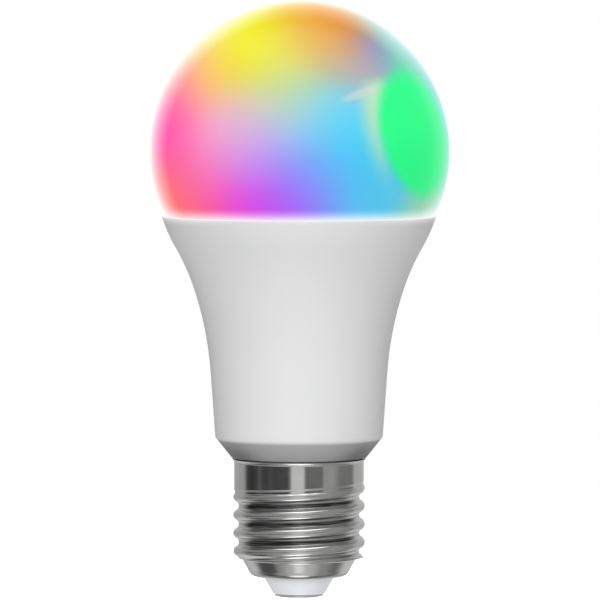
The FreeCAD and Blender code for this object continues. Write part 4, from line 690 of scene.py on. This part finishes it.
def lit_die(name, colour, light):
    """A small chip that glows in its colour, brighter in its middle bands."""
    material, tree, shader = new_material(name, Base_Color=colour, Emission_Color=light, Roughness=0.3)
    where = position(tree)
    bands = add(tree, "ShaderNodeTexWave", {"Vector": where, "Scale": 900.0, "Distortion": 0.5})
    attach(tree, scaled(tree, bands.outputs["Fac"], 0.6, 1.6), shader.inputs["Emission Strength"])
    attach(tree, relief(tree, bands.outputs["Fac"], 0.2, 0.01), shader.inputs["Normal"])
    return material


def red_die():
    return lit_die("red_die", tone(0.60, 0.05, 0.03), tone(1.0, 0.08, 0.04))


def green_die():
    return lit_die("green_die", tone(0.05, 0.50, 0.10), tone(0.08, 1.0, 0.22))


def blue_die():
    return lit_die("blue_die", tone(0.04, 0.10, 0.60), tone(0.06, 0.20, 1.0))


def clear_resin():
    """Clear resin with a slightly uneven face."""
    material, tree, shader = new_material(
        "clear_resin", Base_Color=tone(0.95, 0.95, 0.93), Transmission_Weight=0.9, IOR=1.5
    )
    ripple = noise(tree, position(tree), 900.0)
    attach(tree, scaled(tree, ripple, 0.05, 0.14), shader.inputs["Roughness"])
    attach(tree, relief(tree, ripple, 0.1, 0.02), shader.inputs["Normal"])
    return material


def worn_metal(name, first, second, patches, gloss, grain, strength):
    """A metal of two close tones with fine marks."""
    return grained(name, first, second, patches, gloss, grain, strength, Metallic=1.0)[0]


def screw_steel():
    """Zinc-plated screw."""
    return worn_metal(
        "screw_steel", tone(0.55, 0.56, 0.58), tone(0.68, 0.69, 0.70), 900.0, (0.2, 0.36), 4000.0, 0.1
    )


def gold_pins():
    """Thin gold plate on square pins."""
    return worn_metal(
        "gold_pins", tone(0.78, 0.56, 0.20), tone(0.86, 0.66, 0.30), 700.0, (0.18, 0.3), 3000.0, 0.06
    )


def tinned_leads():
    """Tinned copper leads."""
    return worn_metal(
        "tinned_leads", tone(0.66, 0.67, 0.68), tone(0.76, 0.77, 0.78), 800.0, (0.2, 0.36), 2600.0, 0.1
    )


def solder():
    """Bright solder, faintly wrinkled as it froze."""
    return worn_metal(
        "solder", tone(0.68, 0.69, 0.70), tone(0.82, 0.83, 0.84), 1200.0, (0.12, 0.34), 1800.0, 0.3
    )


def shield_can():
    """Tin-plated shield, lightly scuffed."""
    return worn_metal(
        "shield_can", tone(0.62, 0.63, 0.63), tone(0.72, 0.73, 0.73), 260.0, (0.2, 0.38), 3600.0, 0.08
    )


def antenna_copper():
    """Gilded copper track."""
    return worn_metal(
        "antenna_copper", tone(0.72, 0.42, 0.16), tone(0.82, 0.54, 0.22), 600.0, (0.22, 0.34), 3000.0, 0.08
    )


def black_moulding():
    """Black moulding compound with a fine matt grain."""
    return grained(
        "black_moulding", tone(0.018, 0.018, 0.02), tone(0.035, 0.035, 0.038), 500.0, (0.4, 0.6), 6000.0, 0.2
    )[0]


def white_moulding():
    """Ivory nylon of a socket."""
    return grained(
        "white_moulding", tone(0.76, 0.74, 0.68), tone(0.83, 0.81, 0.76), 300.0, (0.35, 0.5), 3500.0, 0.08
    )[0]


def sleeve_plastic():
    """Milky plastic sleeve that insulates the driver."""
    return grained(
        "sleeve_plastic",
        tone(0.78, 0.79, 0.78),
        tone(0.84, 0.85, 0.84),
        120.0,
        (0.3, 0.42),
        2600.0,
        0.06,
        Transmission_Weight=0.25,
    )[0]


def capacitor_sleeve():
    """Dark shrink sleeve with a pale stripe down one side and ripples from shrinking."""
    material, tree, shader = new_material("capacitor_sleeve", IOR=1.5)
    where = position(tree)
    stripe = add(
        tree,
        "ShaderNodeTexWave",
        {"Vector": where, "Scale": 42.0, "Distortion": 0.0},
        bands_direction="X",
    )
    mark = smooth(tree, stripe.outputs["Fac"], 0.90, 0.94)
    dark = blend(tree, noise(tree, where, 240.0), tone(0.012, 0.016, 0.03), tone(0.022, 0.028, 0.05))
    attach(tree, blend(tree, mark, dark, tone(0.45, 0.47, 0.50)), shader.inputs["Base Color"])
    ripples = noise(tree, where, 700.0, stretch=(1.0, 1.0, 0.3))
    attach(tree, scaled(tree, ripples, 0.2, 0.32), shader.inputs["Roughness"])
    attach(tree, relief(tree, ripples, 0.15, 0.03), shader.inputs["Normal"])
    return material


def bung_rubber():
    """Dull black rubber bung."""
    return grained(
        "bung_rubber", tone(0.02, 0.02, 0.02), tone(0.045, 0.045, 0.045), 800.0, (0.6, 0.8), 3200.0, 0.2
    )[0]


def ferrite():
    """Dark grey sintered ferrite, speckled and ground."""
    return grained(
        "ferrite", tone(0.05, 0.05, 0.055), tone(0.10, 0.10, 0.11), 2800.0, (0.4, 0.65), 7000.0, 0.35
    )[0]


def wound(name, first, second, pitch, gloss, depth):
    """Turns that lie across the lamp's axis; pitch is in turns per metre and depth in millimetres."""
    material, tree, shader = new_material(name, IOR=1.5)
    where = position(tree)
    turns = add(
        tree,
        "ShaderNodeTexWave",
        {"Vector": where, "Scale": pitch, "Distortion": 0.4},
        bands_direction="Z",
    )
    attach(tree, blend(tree, turns.outputs["Fac"], first, second), shader.inputs["Base Color"])
    attach(tree, scaled(tree, noise(tree, where, 900.0), *gloss), shader.inputs["Roughness"])
    attach(tree, relief(tree, turns.outputs["Fac"], 0.8, depth), shader.inputs["Normal"])
    return material


def copper_winding():
    """Enamelled copper wire, wound in close turns."""
    return wound("copper_winding", tone(0.22, 0.06, 0.02), tone(0.62, 0.24, 0.08), 800.0, (0.22, 0.34), 0.1)


def yellow_tape():
    """Yellow polyester tape over the transformer's winding."""
    return wound("yellow_tape", tone(0.76, 0.56, 0.04), tone(0.86, 0.68, 0.08), 90.0, (0.18, 0.3), 0.03)


def resistor_coat():
    """Grey-green cement coat of the fusible resistor."""
    return grained(
        "resistor_coat", tone(0.20, 0.28, 0.24), tone(0.27, 0.36, 0.31), 700.0, (0.4, 0.6), 3000.0, 0.25
    )[0]


def varistor_coat():
    """Blue epoxy dip coat."""
    return grained(
        "varistor_coat", tone(0.02, 0.10, 0.36), tone(0.03, 0.14, 0.46), 300.0, (0.14, 0.26), 700.0, 0.15
    )[0]


def film_box():
    """Yellow plastic box of the film capacitor."""
    return grained(
        "film_box", tone(0.78, 0.55, 0.04), tone(0.84, 0.62, 0.08), 300.0, (0.3, 0.45), 3600.0, 0.08
    )[0]


def smd_resistor():
    """Dark glaze of chip resistors."""
    return grained(
        "smd_resistor", tone(0.03, 0.03, 0.035), tone(0.07, 0.07, 0.08), 2200.0, (0.16, 0.3), 5000.0, 0.08
    )[0]


def smd_capacitor():
    """Tan ceramic of chip capacitors."""
    return grained(
        "smd_capacitor", tone(0.42, 0.28, 0.16), tone(0.52, 0.36, 0.22), 1800.0, (0.3, 0.45), 5200.0, 0.12
    )[0]


def insulation(name, first, second):
    """Soft wire insulation."""
    return grained(name, first, second, 500.0, (0.28, 0.42), 2600.0, 0.08)[0]


def live_insulation():
    return insulation("live_insulation", tone(0.22, 0.07, 0.02), tone(0.30, 0.10, 0.04))


def neutral_insulation():
    return insulation("neutral_insulation", tone(0.02, 0.10, 0.42), tone(0.04, 0.15, 0.52))


# ----------------------------------------------------------------- the shapes


def dome():
    """Round opal shell with a softened foot and a spigot that enters the housing."""
    drop = DOME_CENTRE - RIM_HEIGHT
    wall, flange, spigot, spigot_end = 1.2, 1.2, (24.3, 25.3), DOME_LOW.z
    foot = math.sqrt(DOME_RADIUS**2 - drop**2)
    inner = DOME_RADIUS - wall
    inner_foot = math.sqrt(inner**2 - (drop - flange) ** 2)
    profile = trace(
        [
            (0, DOME_CENTRE + DOME_RADIUS),
            (0, DOME_CENTRE + inner),
            (inner_foot, RIM_HEIGHT + flange, inner, -1),
            (spigot[0], RIM_HEIGHT + flange, 0.3),
            (spigot[0], spigot_end, 0.15),
            (spigot[1], spigot_end, 0.15),
            (spigot[1], RIM_HEIGHT),
            (foot - 0.2, RIM_HEIGHT),
            (foot + 0.09, RIM_HEIGHT + 0.22, 0.22, 1),
            (0, DOME_CENTRE + DOME_RADIUS, DOME_RADIUS, 1),
        ],
        ALONG,
    )
    return turned(profile, AROUND)


def flared_wall():
    """Corners of the housing's outside from its taper up to the rim: three arcs that meet in line."""
    return [
        (17.63, 45.0),
        (21.06, 62.0, FLARE_LOWER, -1),
        (24.58, 69.79, FLARE_UPPER, -1),
        (RIM_RADIUS - 0.07, RIM_HEIGHT - 0.22, SHOULDER, 1),
    ]


def housing():
    """Flared wall with a softened rim, the conical foot, and the neck that goes into the screw cap."""
    bore, core, fit = 9.9, 11.35, 12.5
    rim_bore, ledge = 25.45, 73.8
    recess, floor_top, seat = 14.4, 31.0, 34.1
    outside = flared_wall()
    inside = [(corner[0] - HOUSING_WALL, corner[1]) for corner in outside]
    profile = trace(
        [
            (bore, HOUSING_LOW.z, 0.2),
            (core, HOUSING_LOW.z, 0.3),
            (core, 21.9),
            (fit, 22.5),
            (fit, FOOT_LOW),
            (13.43, FOOT_LOW, 0.2),
            (16.7, FOOT_HEIGHT, 1.0),
            *outside,
            (RIM_RADIUS - 0.27, RIM_HEIGHT, 0.22, 1),
            (rim_bore, RIM_HEIGHT, 0.1),
            (rim_bore, ledge),
            (24.9, ledge),
            inside[2],
            (*inside[1], FLARE_UPPER + HOUSING_WALL, 1),
            (*inside[0], FLARE_LOWER + HOUSING_WALL, 1),
            (15.6, seat, 0.3),
            (recess, seat, 0.2),
            (recess, floor_top),
            (bore, floor_top, 0.2),
        ],
        ALONG,
    )
    points, faces = turned(profile, AROUND)
    for i in range(RIB_COUNT):
        add_rib(points, faces, math.radians(360 / RIB_COUNT * i))
    return points, faces


def add_rib(points, faces, angle):
    """One support rib on the inside of the flared wall, under the heat-sink cup's ledge."""
    half, edge, low, high = 0.6, 21.35, 66.0, 71.5
    corners = [(edge, low), (edge + 1.0, low), (24.2, high), (edge, high)]
    first = len(points)
    for side in (-half, half):
        for r, z in corners:
            x = r * math.cos(angle) - side * math.sin(angle)
            y = r * math.sin(angle) + side * math.cos(angle)
            points.append((x * MM, y * MM, z * MM))
    near = [first + i for i in range(4)]
    far = [first + 4 + i for i in range(4)]
    faces.append(near)
    faces.append(far[::-1])
    for i in range(4):
        j = (i + 1) % 4
        faces.append([near[j], near[i], far[i], far[j]])


def wave(offset):
    """Radius of the round thread at a height from the middle of a root."""
    offset = abs(offset)
    if offset <= PITCH / 4:
        return ROOT + BEND - math.sqrt(BEND**2 - offset**2)
    return CREST - BEND + math.sqrt(BEND**2 - (offset - PITCH / 2) ** 2)


def ease(share):
    """A smooth step from 0 to 1."""
    share = min(max(share, 0.0), 1.0)
    return share * share * (3 - 2 * share)


def last_ridge(above):
    """Radius at a height above the middle of the uppermost crest: a fine groove, then the plain skirt."""
    crest = CREST - BEND + math.sqrt(max(BEND**2 - above**2, 0))
    groove = ease((GROOVE_HALF - abs(above - GROOVE_RISE)) / GROOVE_SIDE)
    return max(SKIRT, crest) - GROOVE_DEPTH * groove


def threaded(height, angle):
    """Radius of the rolled thread. Its last half turn grows shallower until it is lost in the skirt."""
    turns = angle / (2 * math.pi)
    crest = FIRST_ROOT + PITCH * (FULL_TURNS - 0.5 + turns)
    if height <= crest:
        offset = (height - FIRST_ROOT) / PITCH - turns
        return wave((offset - round(offset)) * PITCH)
    plain = last_ridge(height - crest)
    if turns >= 0.5:
        return plain
    if height <= crest + PITCH:
        full = wave(height - crest - PITCH / 2)
    else:
        full = last_ridge(height - crest - PITCH)
    return full + (plain - full) * ease(2 * turns)


def screw_shell():
    """Thin plated shell: a flared lip, the skirt, the thread, and a cone down to the floor with its hole."""
    lip, top = 13.3, LIP_HEIGHT + 0.15
    hole, floor_edge = 7.1, 8.6
    cone_foot, cone_low = 10.2, 5.5
    cone_top, cone_high = 11.4, 7.65
    outside = [
        (hole, SHELL_FLOOR, 0.1),
        (floor_edge, SHELL_FLOOR),
        (cone_foot, cone_low, 1.9, 1),
        (cone_top, cone_high, 0.3),
        (CREST, THREAD_FOOT, 0.12),
        (CREST, THREAD_END - 0.1),
        (SKIRT, THREAD_END),
        (SKIRT, 26.95),
        (lip, top - 0.1, 0.8, -1),
        (lip - 0.15, top, 0.12, 1),
    ]
    inside = [
        (lip - SHEET, top - 0.25),
        (SKIRT - SHEET, 26.6, 1.1, 1),
        (SKIRT - SHEET, THREAD_END),
        (CREST - SHEET, THREAD_END - 0.1),
        (CREST - SHEET, THREAD_FOOT + SHEET),
        (cone_top - SHEET, cone_high + SHEET * 0.6),
        (cone_foot - SHEET, cone_low + SHEET * 0.4),
        (floor_edge, SHELL_FLOOR + SHEET, 1.55, -1),
        (hole, SHELL_FLOOR + SHEET, 0.1),
    ]
    outer = trace(outside, 0.11, closed=False)
    inner = trace(inside, 0.22, closed=False)
    inner_points = set(inner)

    def rolled(radius, height, angle):
        if height < THREAD_FOOT - 0.4 or height > THREAD_END:
            return radius
        sheet = SHEET if (radius, height) in inner_points else 0.0
        return min(radius, threaded(height, angle) - sheet)

    return turned(outer + inner, AROUND, rolled)


def insulator_body():
    """Cone between the shell and the contact, with a softened lower edge and a flange inside the shell."""
    bore, bottom, top = 1.43, 0.7, 6.0
    neck, flange, seat = 7.05, 8.2, SHELL_FLOOR + SHEET
    profile = trace(
        [
            (bore, bottom, 0.05),
            (5.15, bottom, 0.35),
            (neck, 4.05),
            (neck, seat),
            (flange, seat, 0.15),
            (flange, top, 0.4),
            (bore, top, 0.1),
        ],
        0.4,
    )
    return turned(profile, AROUND_SMALL)


def contact():
    """Crowned rivet head with a flat tip, a softened rim and a shank."""
    shank, head_top = 1.4, 0.7
    profile = trace(
        [
            (0, 0),
            (3.0, 0),
            (4.78, 0.27, 6.25, 1),
            (4.85, 0.42, 0.1, 1),
            (4.72, 0.58, 0.18, 1),
            (4.3, head_top, 0.1),
            (shank, head_top),
            (shank, CONTACT_TOP, 0.15),
            (0, CONTACT_TOP),
        ],
        0.3,
    )
    return turned(profile, AROUND_SMALL)


# ------------------------------------------------------------------ the studio

# What stands around the lamp, from back to front: azimuth of the middle from the camera's side towards +X,
# elevation of the middle, width, height, softness of the edge across and up, all in degrees, and brightness.
PANELS = [
    ("front glow", 0, -10, 60, 130, 45, 30, 0.62),
    ("front upper glow", 2, 36, 16, 28, 18, 12, 1.2),
    ("front lower glow", 2, -36, 16, 28, 18, 12, 1.1),
    ("left wall", -150, -2, 62, 60, 10, 9, 0.50),
    ("right wall", 150, -2, 74, 60, 14, 9, 0.60),
    ("left high gap", -140, 46, 90, 24, 16, 8, 0.09),
    ("right high gap", 135, 44, 70, 22, 16, 10, 0.22),
    ("left low gap", -96, -46, 54, 26, 12, 8, 0.10),
    ("right low gap", 116, -42, 50, 22, 20, 8, 0.18),
    ("ceiling", 0, 90, 400, 46, 10, 14, 0.75),
    ("table top", 0, -90, 400, 46, 10, 14, 0.35),
    ("back low panel", 180, -42, 110, 36, 20, 10, 0.75),
    ("left dark band", -62, -4, 94, 12, 6, 4, 0.068),
    ("left far stripe", -92, -4, 10, 12, 6, 4, 0.045),
    ("left stripe", -74, -4, 8, 12, 4, 4, 0.125),
    ("left near stripe", -52, -4, 6, 12, 5, 4, 0.095),
    ("front strip", -1.5, -4, 24, 12, 2, 4, 0.74),
    ("right dark band", 27, -4, 34, 12, 3, 4, 0.19),
    ("right panel", 56, -4, 18, 12, 6, 4, 0.38),
    ("right far band", 93, -4, 40, 12, 8, 4, 0.225),
    ("left edge", -150, -4, 66, 12, 8, 4, 0.46),
    ("right edge", 150, -4, 62, 12, 8, 4, 0.54),
]

# Round lamps: azimuth and elevation, where the light starts and where it is full, in degrees off the middle,
# and brightness.
LAMPS = [
    ("front low lamp", 8, -63, 32, 2, 0.62),
    ("ceiling lamp", 0, 84, 32, 8, 2.9),
    ("glass table lamp", 0, -79, 18, 5, 2.3),
]

# Soft lights: azimuth and elevation in degrees, distance and size in metres, and power in watts.
LIGHTS = [
    ("key light", -8, 14, 1.1, 0.6, 5.0),
    ("back light", 178, 14, 1.1, 0.6, 3.6),
    ("top light", 0, 75, 1.0, 0.9, 1.6),
]


def surroundings(tree, ray):
    """Brightness of the studio in every direction: a mid grey room, and each light over what is behind it."""
    azimuth, elevation = angles(tree, ray)
    level = 0.34
    for _, side, height, width, tall, soft_across, soft_up, brightness in PANELS:
        across = maths(tree, "WRAP", maths(tree, "SUBTRACT", azimuth, side), -180.0, 180.0)
        across = maths(tree, "ABSOLUTE", across)
        up = maths(tree, "ABSOLUTE", maths(tree, "SUBTRACT", elevation, height))
        cover = product(
            tree,
            smooth(tree, across, width / 2 + soft_across, width / 2 - soft_across),
            smooth(tree, up, tall / 2 + soft_up, tall / 2 - soft_up),
        )
        level = laid_over(tree, level, cover, brightness)
    for _, side, height, outer, inner, brightness in LAMPS:
        level = laid_over(tree, level, within(tree, ray, (side, height), outer, inner), brightness)
    return level


def laid_over(tree, level, cover, brightness):
    """The level with a light of that brightness in front of it where cover is 1."""
    return maths(tree, "MULTIPLY_ADD", cover, maths(tree, "SUBTRACT", brightness, level), level)


def studio():
    """White backdrop for the camera, and the soft studio for everything else."""
    scene = bpy.context.scene
    scene.view_settings.view_transform = "Standard"
    scene.world = bpy.data.worlds.new("studio")
    scene.world.use_nodes = True
    tree = scene.world.node_tree
    background = tree.nodes["Background"]
    background.inputs["Color"].default_value = tone(1.0, 1.0, 1.0)
    level = surroundings(tree, add(tree, "ShaderNodeTexCoord").outputs["Generated"])
    seen = add(tree, "ShaderNodeLightPath").outputs["Is Camera Ray"]
    rest = maths(tree, "SUBTRACT", 1.0, seen)
    attach(tree, maths(tree, "MULTIPLY_ADD", level, rest, seen), background.inputs["Strength"])


def soft_light(name, azimuth, elevation, distance, size, power):
    """A round soft light that faces the lamp's middle and shows in no reflection."""
    data = bpy.data.lights.new(name, "AREA")
    data.shape = "DISK"
    data.size = size
    data.energy = power
    light = bpy.data.objects.new(name, data)
    bpy.context.scene.collection.objects.link(light)
    towards = direction(azimuth, elevation)
    light.location = LOOK_AT + towards * distance
    light.rotation_mode = "QUATERNION"
    light.rotation_quaternion = towards.to_track_quat("Z", "Y")
    light.visible_glossy = False
    light.visible_camera = False


def floor():
    """Plain pale floor, well below the lamp, which nothing visible holds up."""
    size, drop = 8.0, 0.7
    points = [(-size, -size, -drop), (size, -size, -drop), (size, size, -drop), (-size, size, -drop)]
    mesh = bpy.data.meshes.new("floor")
    mesh.from_pydata(points, [], [(0, 1, 2, 3)])
    plane = bpy.data.objects.new("floor", mesh)
    bpy.context.scene.collection.objects.link(plane)
    material, tree, shader = new_material(
        "pale_floor", Base_Color=tone(0.9, 0.9, 0.9), Emission_Strength=1.0
    )
    pale = noise(tree, position(tree), 2.0)
    glow = blend(tree, pale, tone(0.97, 0.97, 0.97), tone(1.0, 1.0, 1.0))
    attach(tree, glow, shader.inputs["Emission Color"])
    attach(tree, scaled(tree, pale, 0.8, 0.9), shader.inputs["Roughness"])
    mesh.materials.append(material)
    plane.visible_diffuse = False
    plane.visible_glossy = False
    plane.visible_transmission = False
    plane.visible_shadow = False


LOOK_AT = Vector((0.0002, 0.0, 0.0593))
CAMERA_DISTANCE = 1.195
CAMERA_RISE = 0.0563
CAMERA_LENS = 360.2


def camera():
    """Long lens from the front, a little above the lamp's middle."""
    data = bpy.data.cameras.new("camera")
    data.lens = CAMERA_LENS
    data.sensor_width = 36.0
    data.clip_start = 0.1
    data.clip_end = 20.0
    eye = bpy.data.objects.new("camera", data)
    bpy.context.scene.collection.objects.link(eye)
    eye.location = LOOK_AT + Vector((0, -CAMERA_DISTANCE, CAMERA_RISE))
    eye.rotation_mode = "QUATERNION"
    eye.rotation_quaternion = (eye.location - LOOK_AT).to_track_quat("Z", "Y")
    bpy.context.scene.camera = eye


# ------------------------------------------------------------------- assembly

MATERIALS = {
    make.__name__: make()
    for make in (
        opal_diffuser,
        white_housing,
        nickel_plate,
        insulator,
        contact_metal,
        silicone,
        bare_aluminium,
        thermal_paste,
        white_board,
        green_board,
        led_package,
        warm_phosphor,
        cool_phosphor,
        red_die,
        green_die,
        blue_die,
        clear_resin,
        screw_steel,
        gold_pins,
        tinned_leads,
        solder,
        shield_can,
        antenna_copper,
        black_moulding,
        white_moulding,
        sleeve_plastic,
        capacitor_sleeve,
        bung_rubber,
        ferrite,
        copper_winding,
        yellow_tape,
        resistor_coat,
        varistor_coat,
        film_box,
        smd_resistor,
        smd_capacitor,
        live_insulation,
        neutral_insulation,
    )
}
for row in frame["record"]["subparts"]:
    for place in frame["nodes"][row["node"]].material_slots:
        place.material = MATERIALS[row["material_slot"]]

mesh_piece("dome", *dome(), "diffuser_dome", "opal_diffuser")
mesh_piece("housing", *housing(), "housing_shell", "white_housing")
mesh_piece("threaded_shell", *screw_shell(), "screw_shell", "nickel_plate")
mesh_piece("insulator_body", *insulator_body(), "cap_insulator", "insulator")
mesh_piece("contact", *contact(), "centre_contact", "contact_metal")

studio()
floor()
camera()
for light in LIGHTS:
    soft_light(*light)
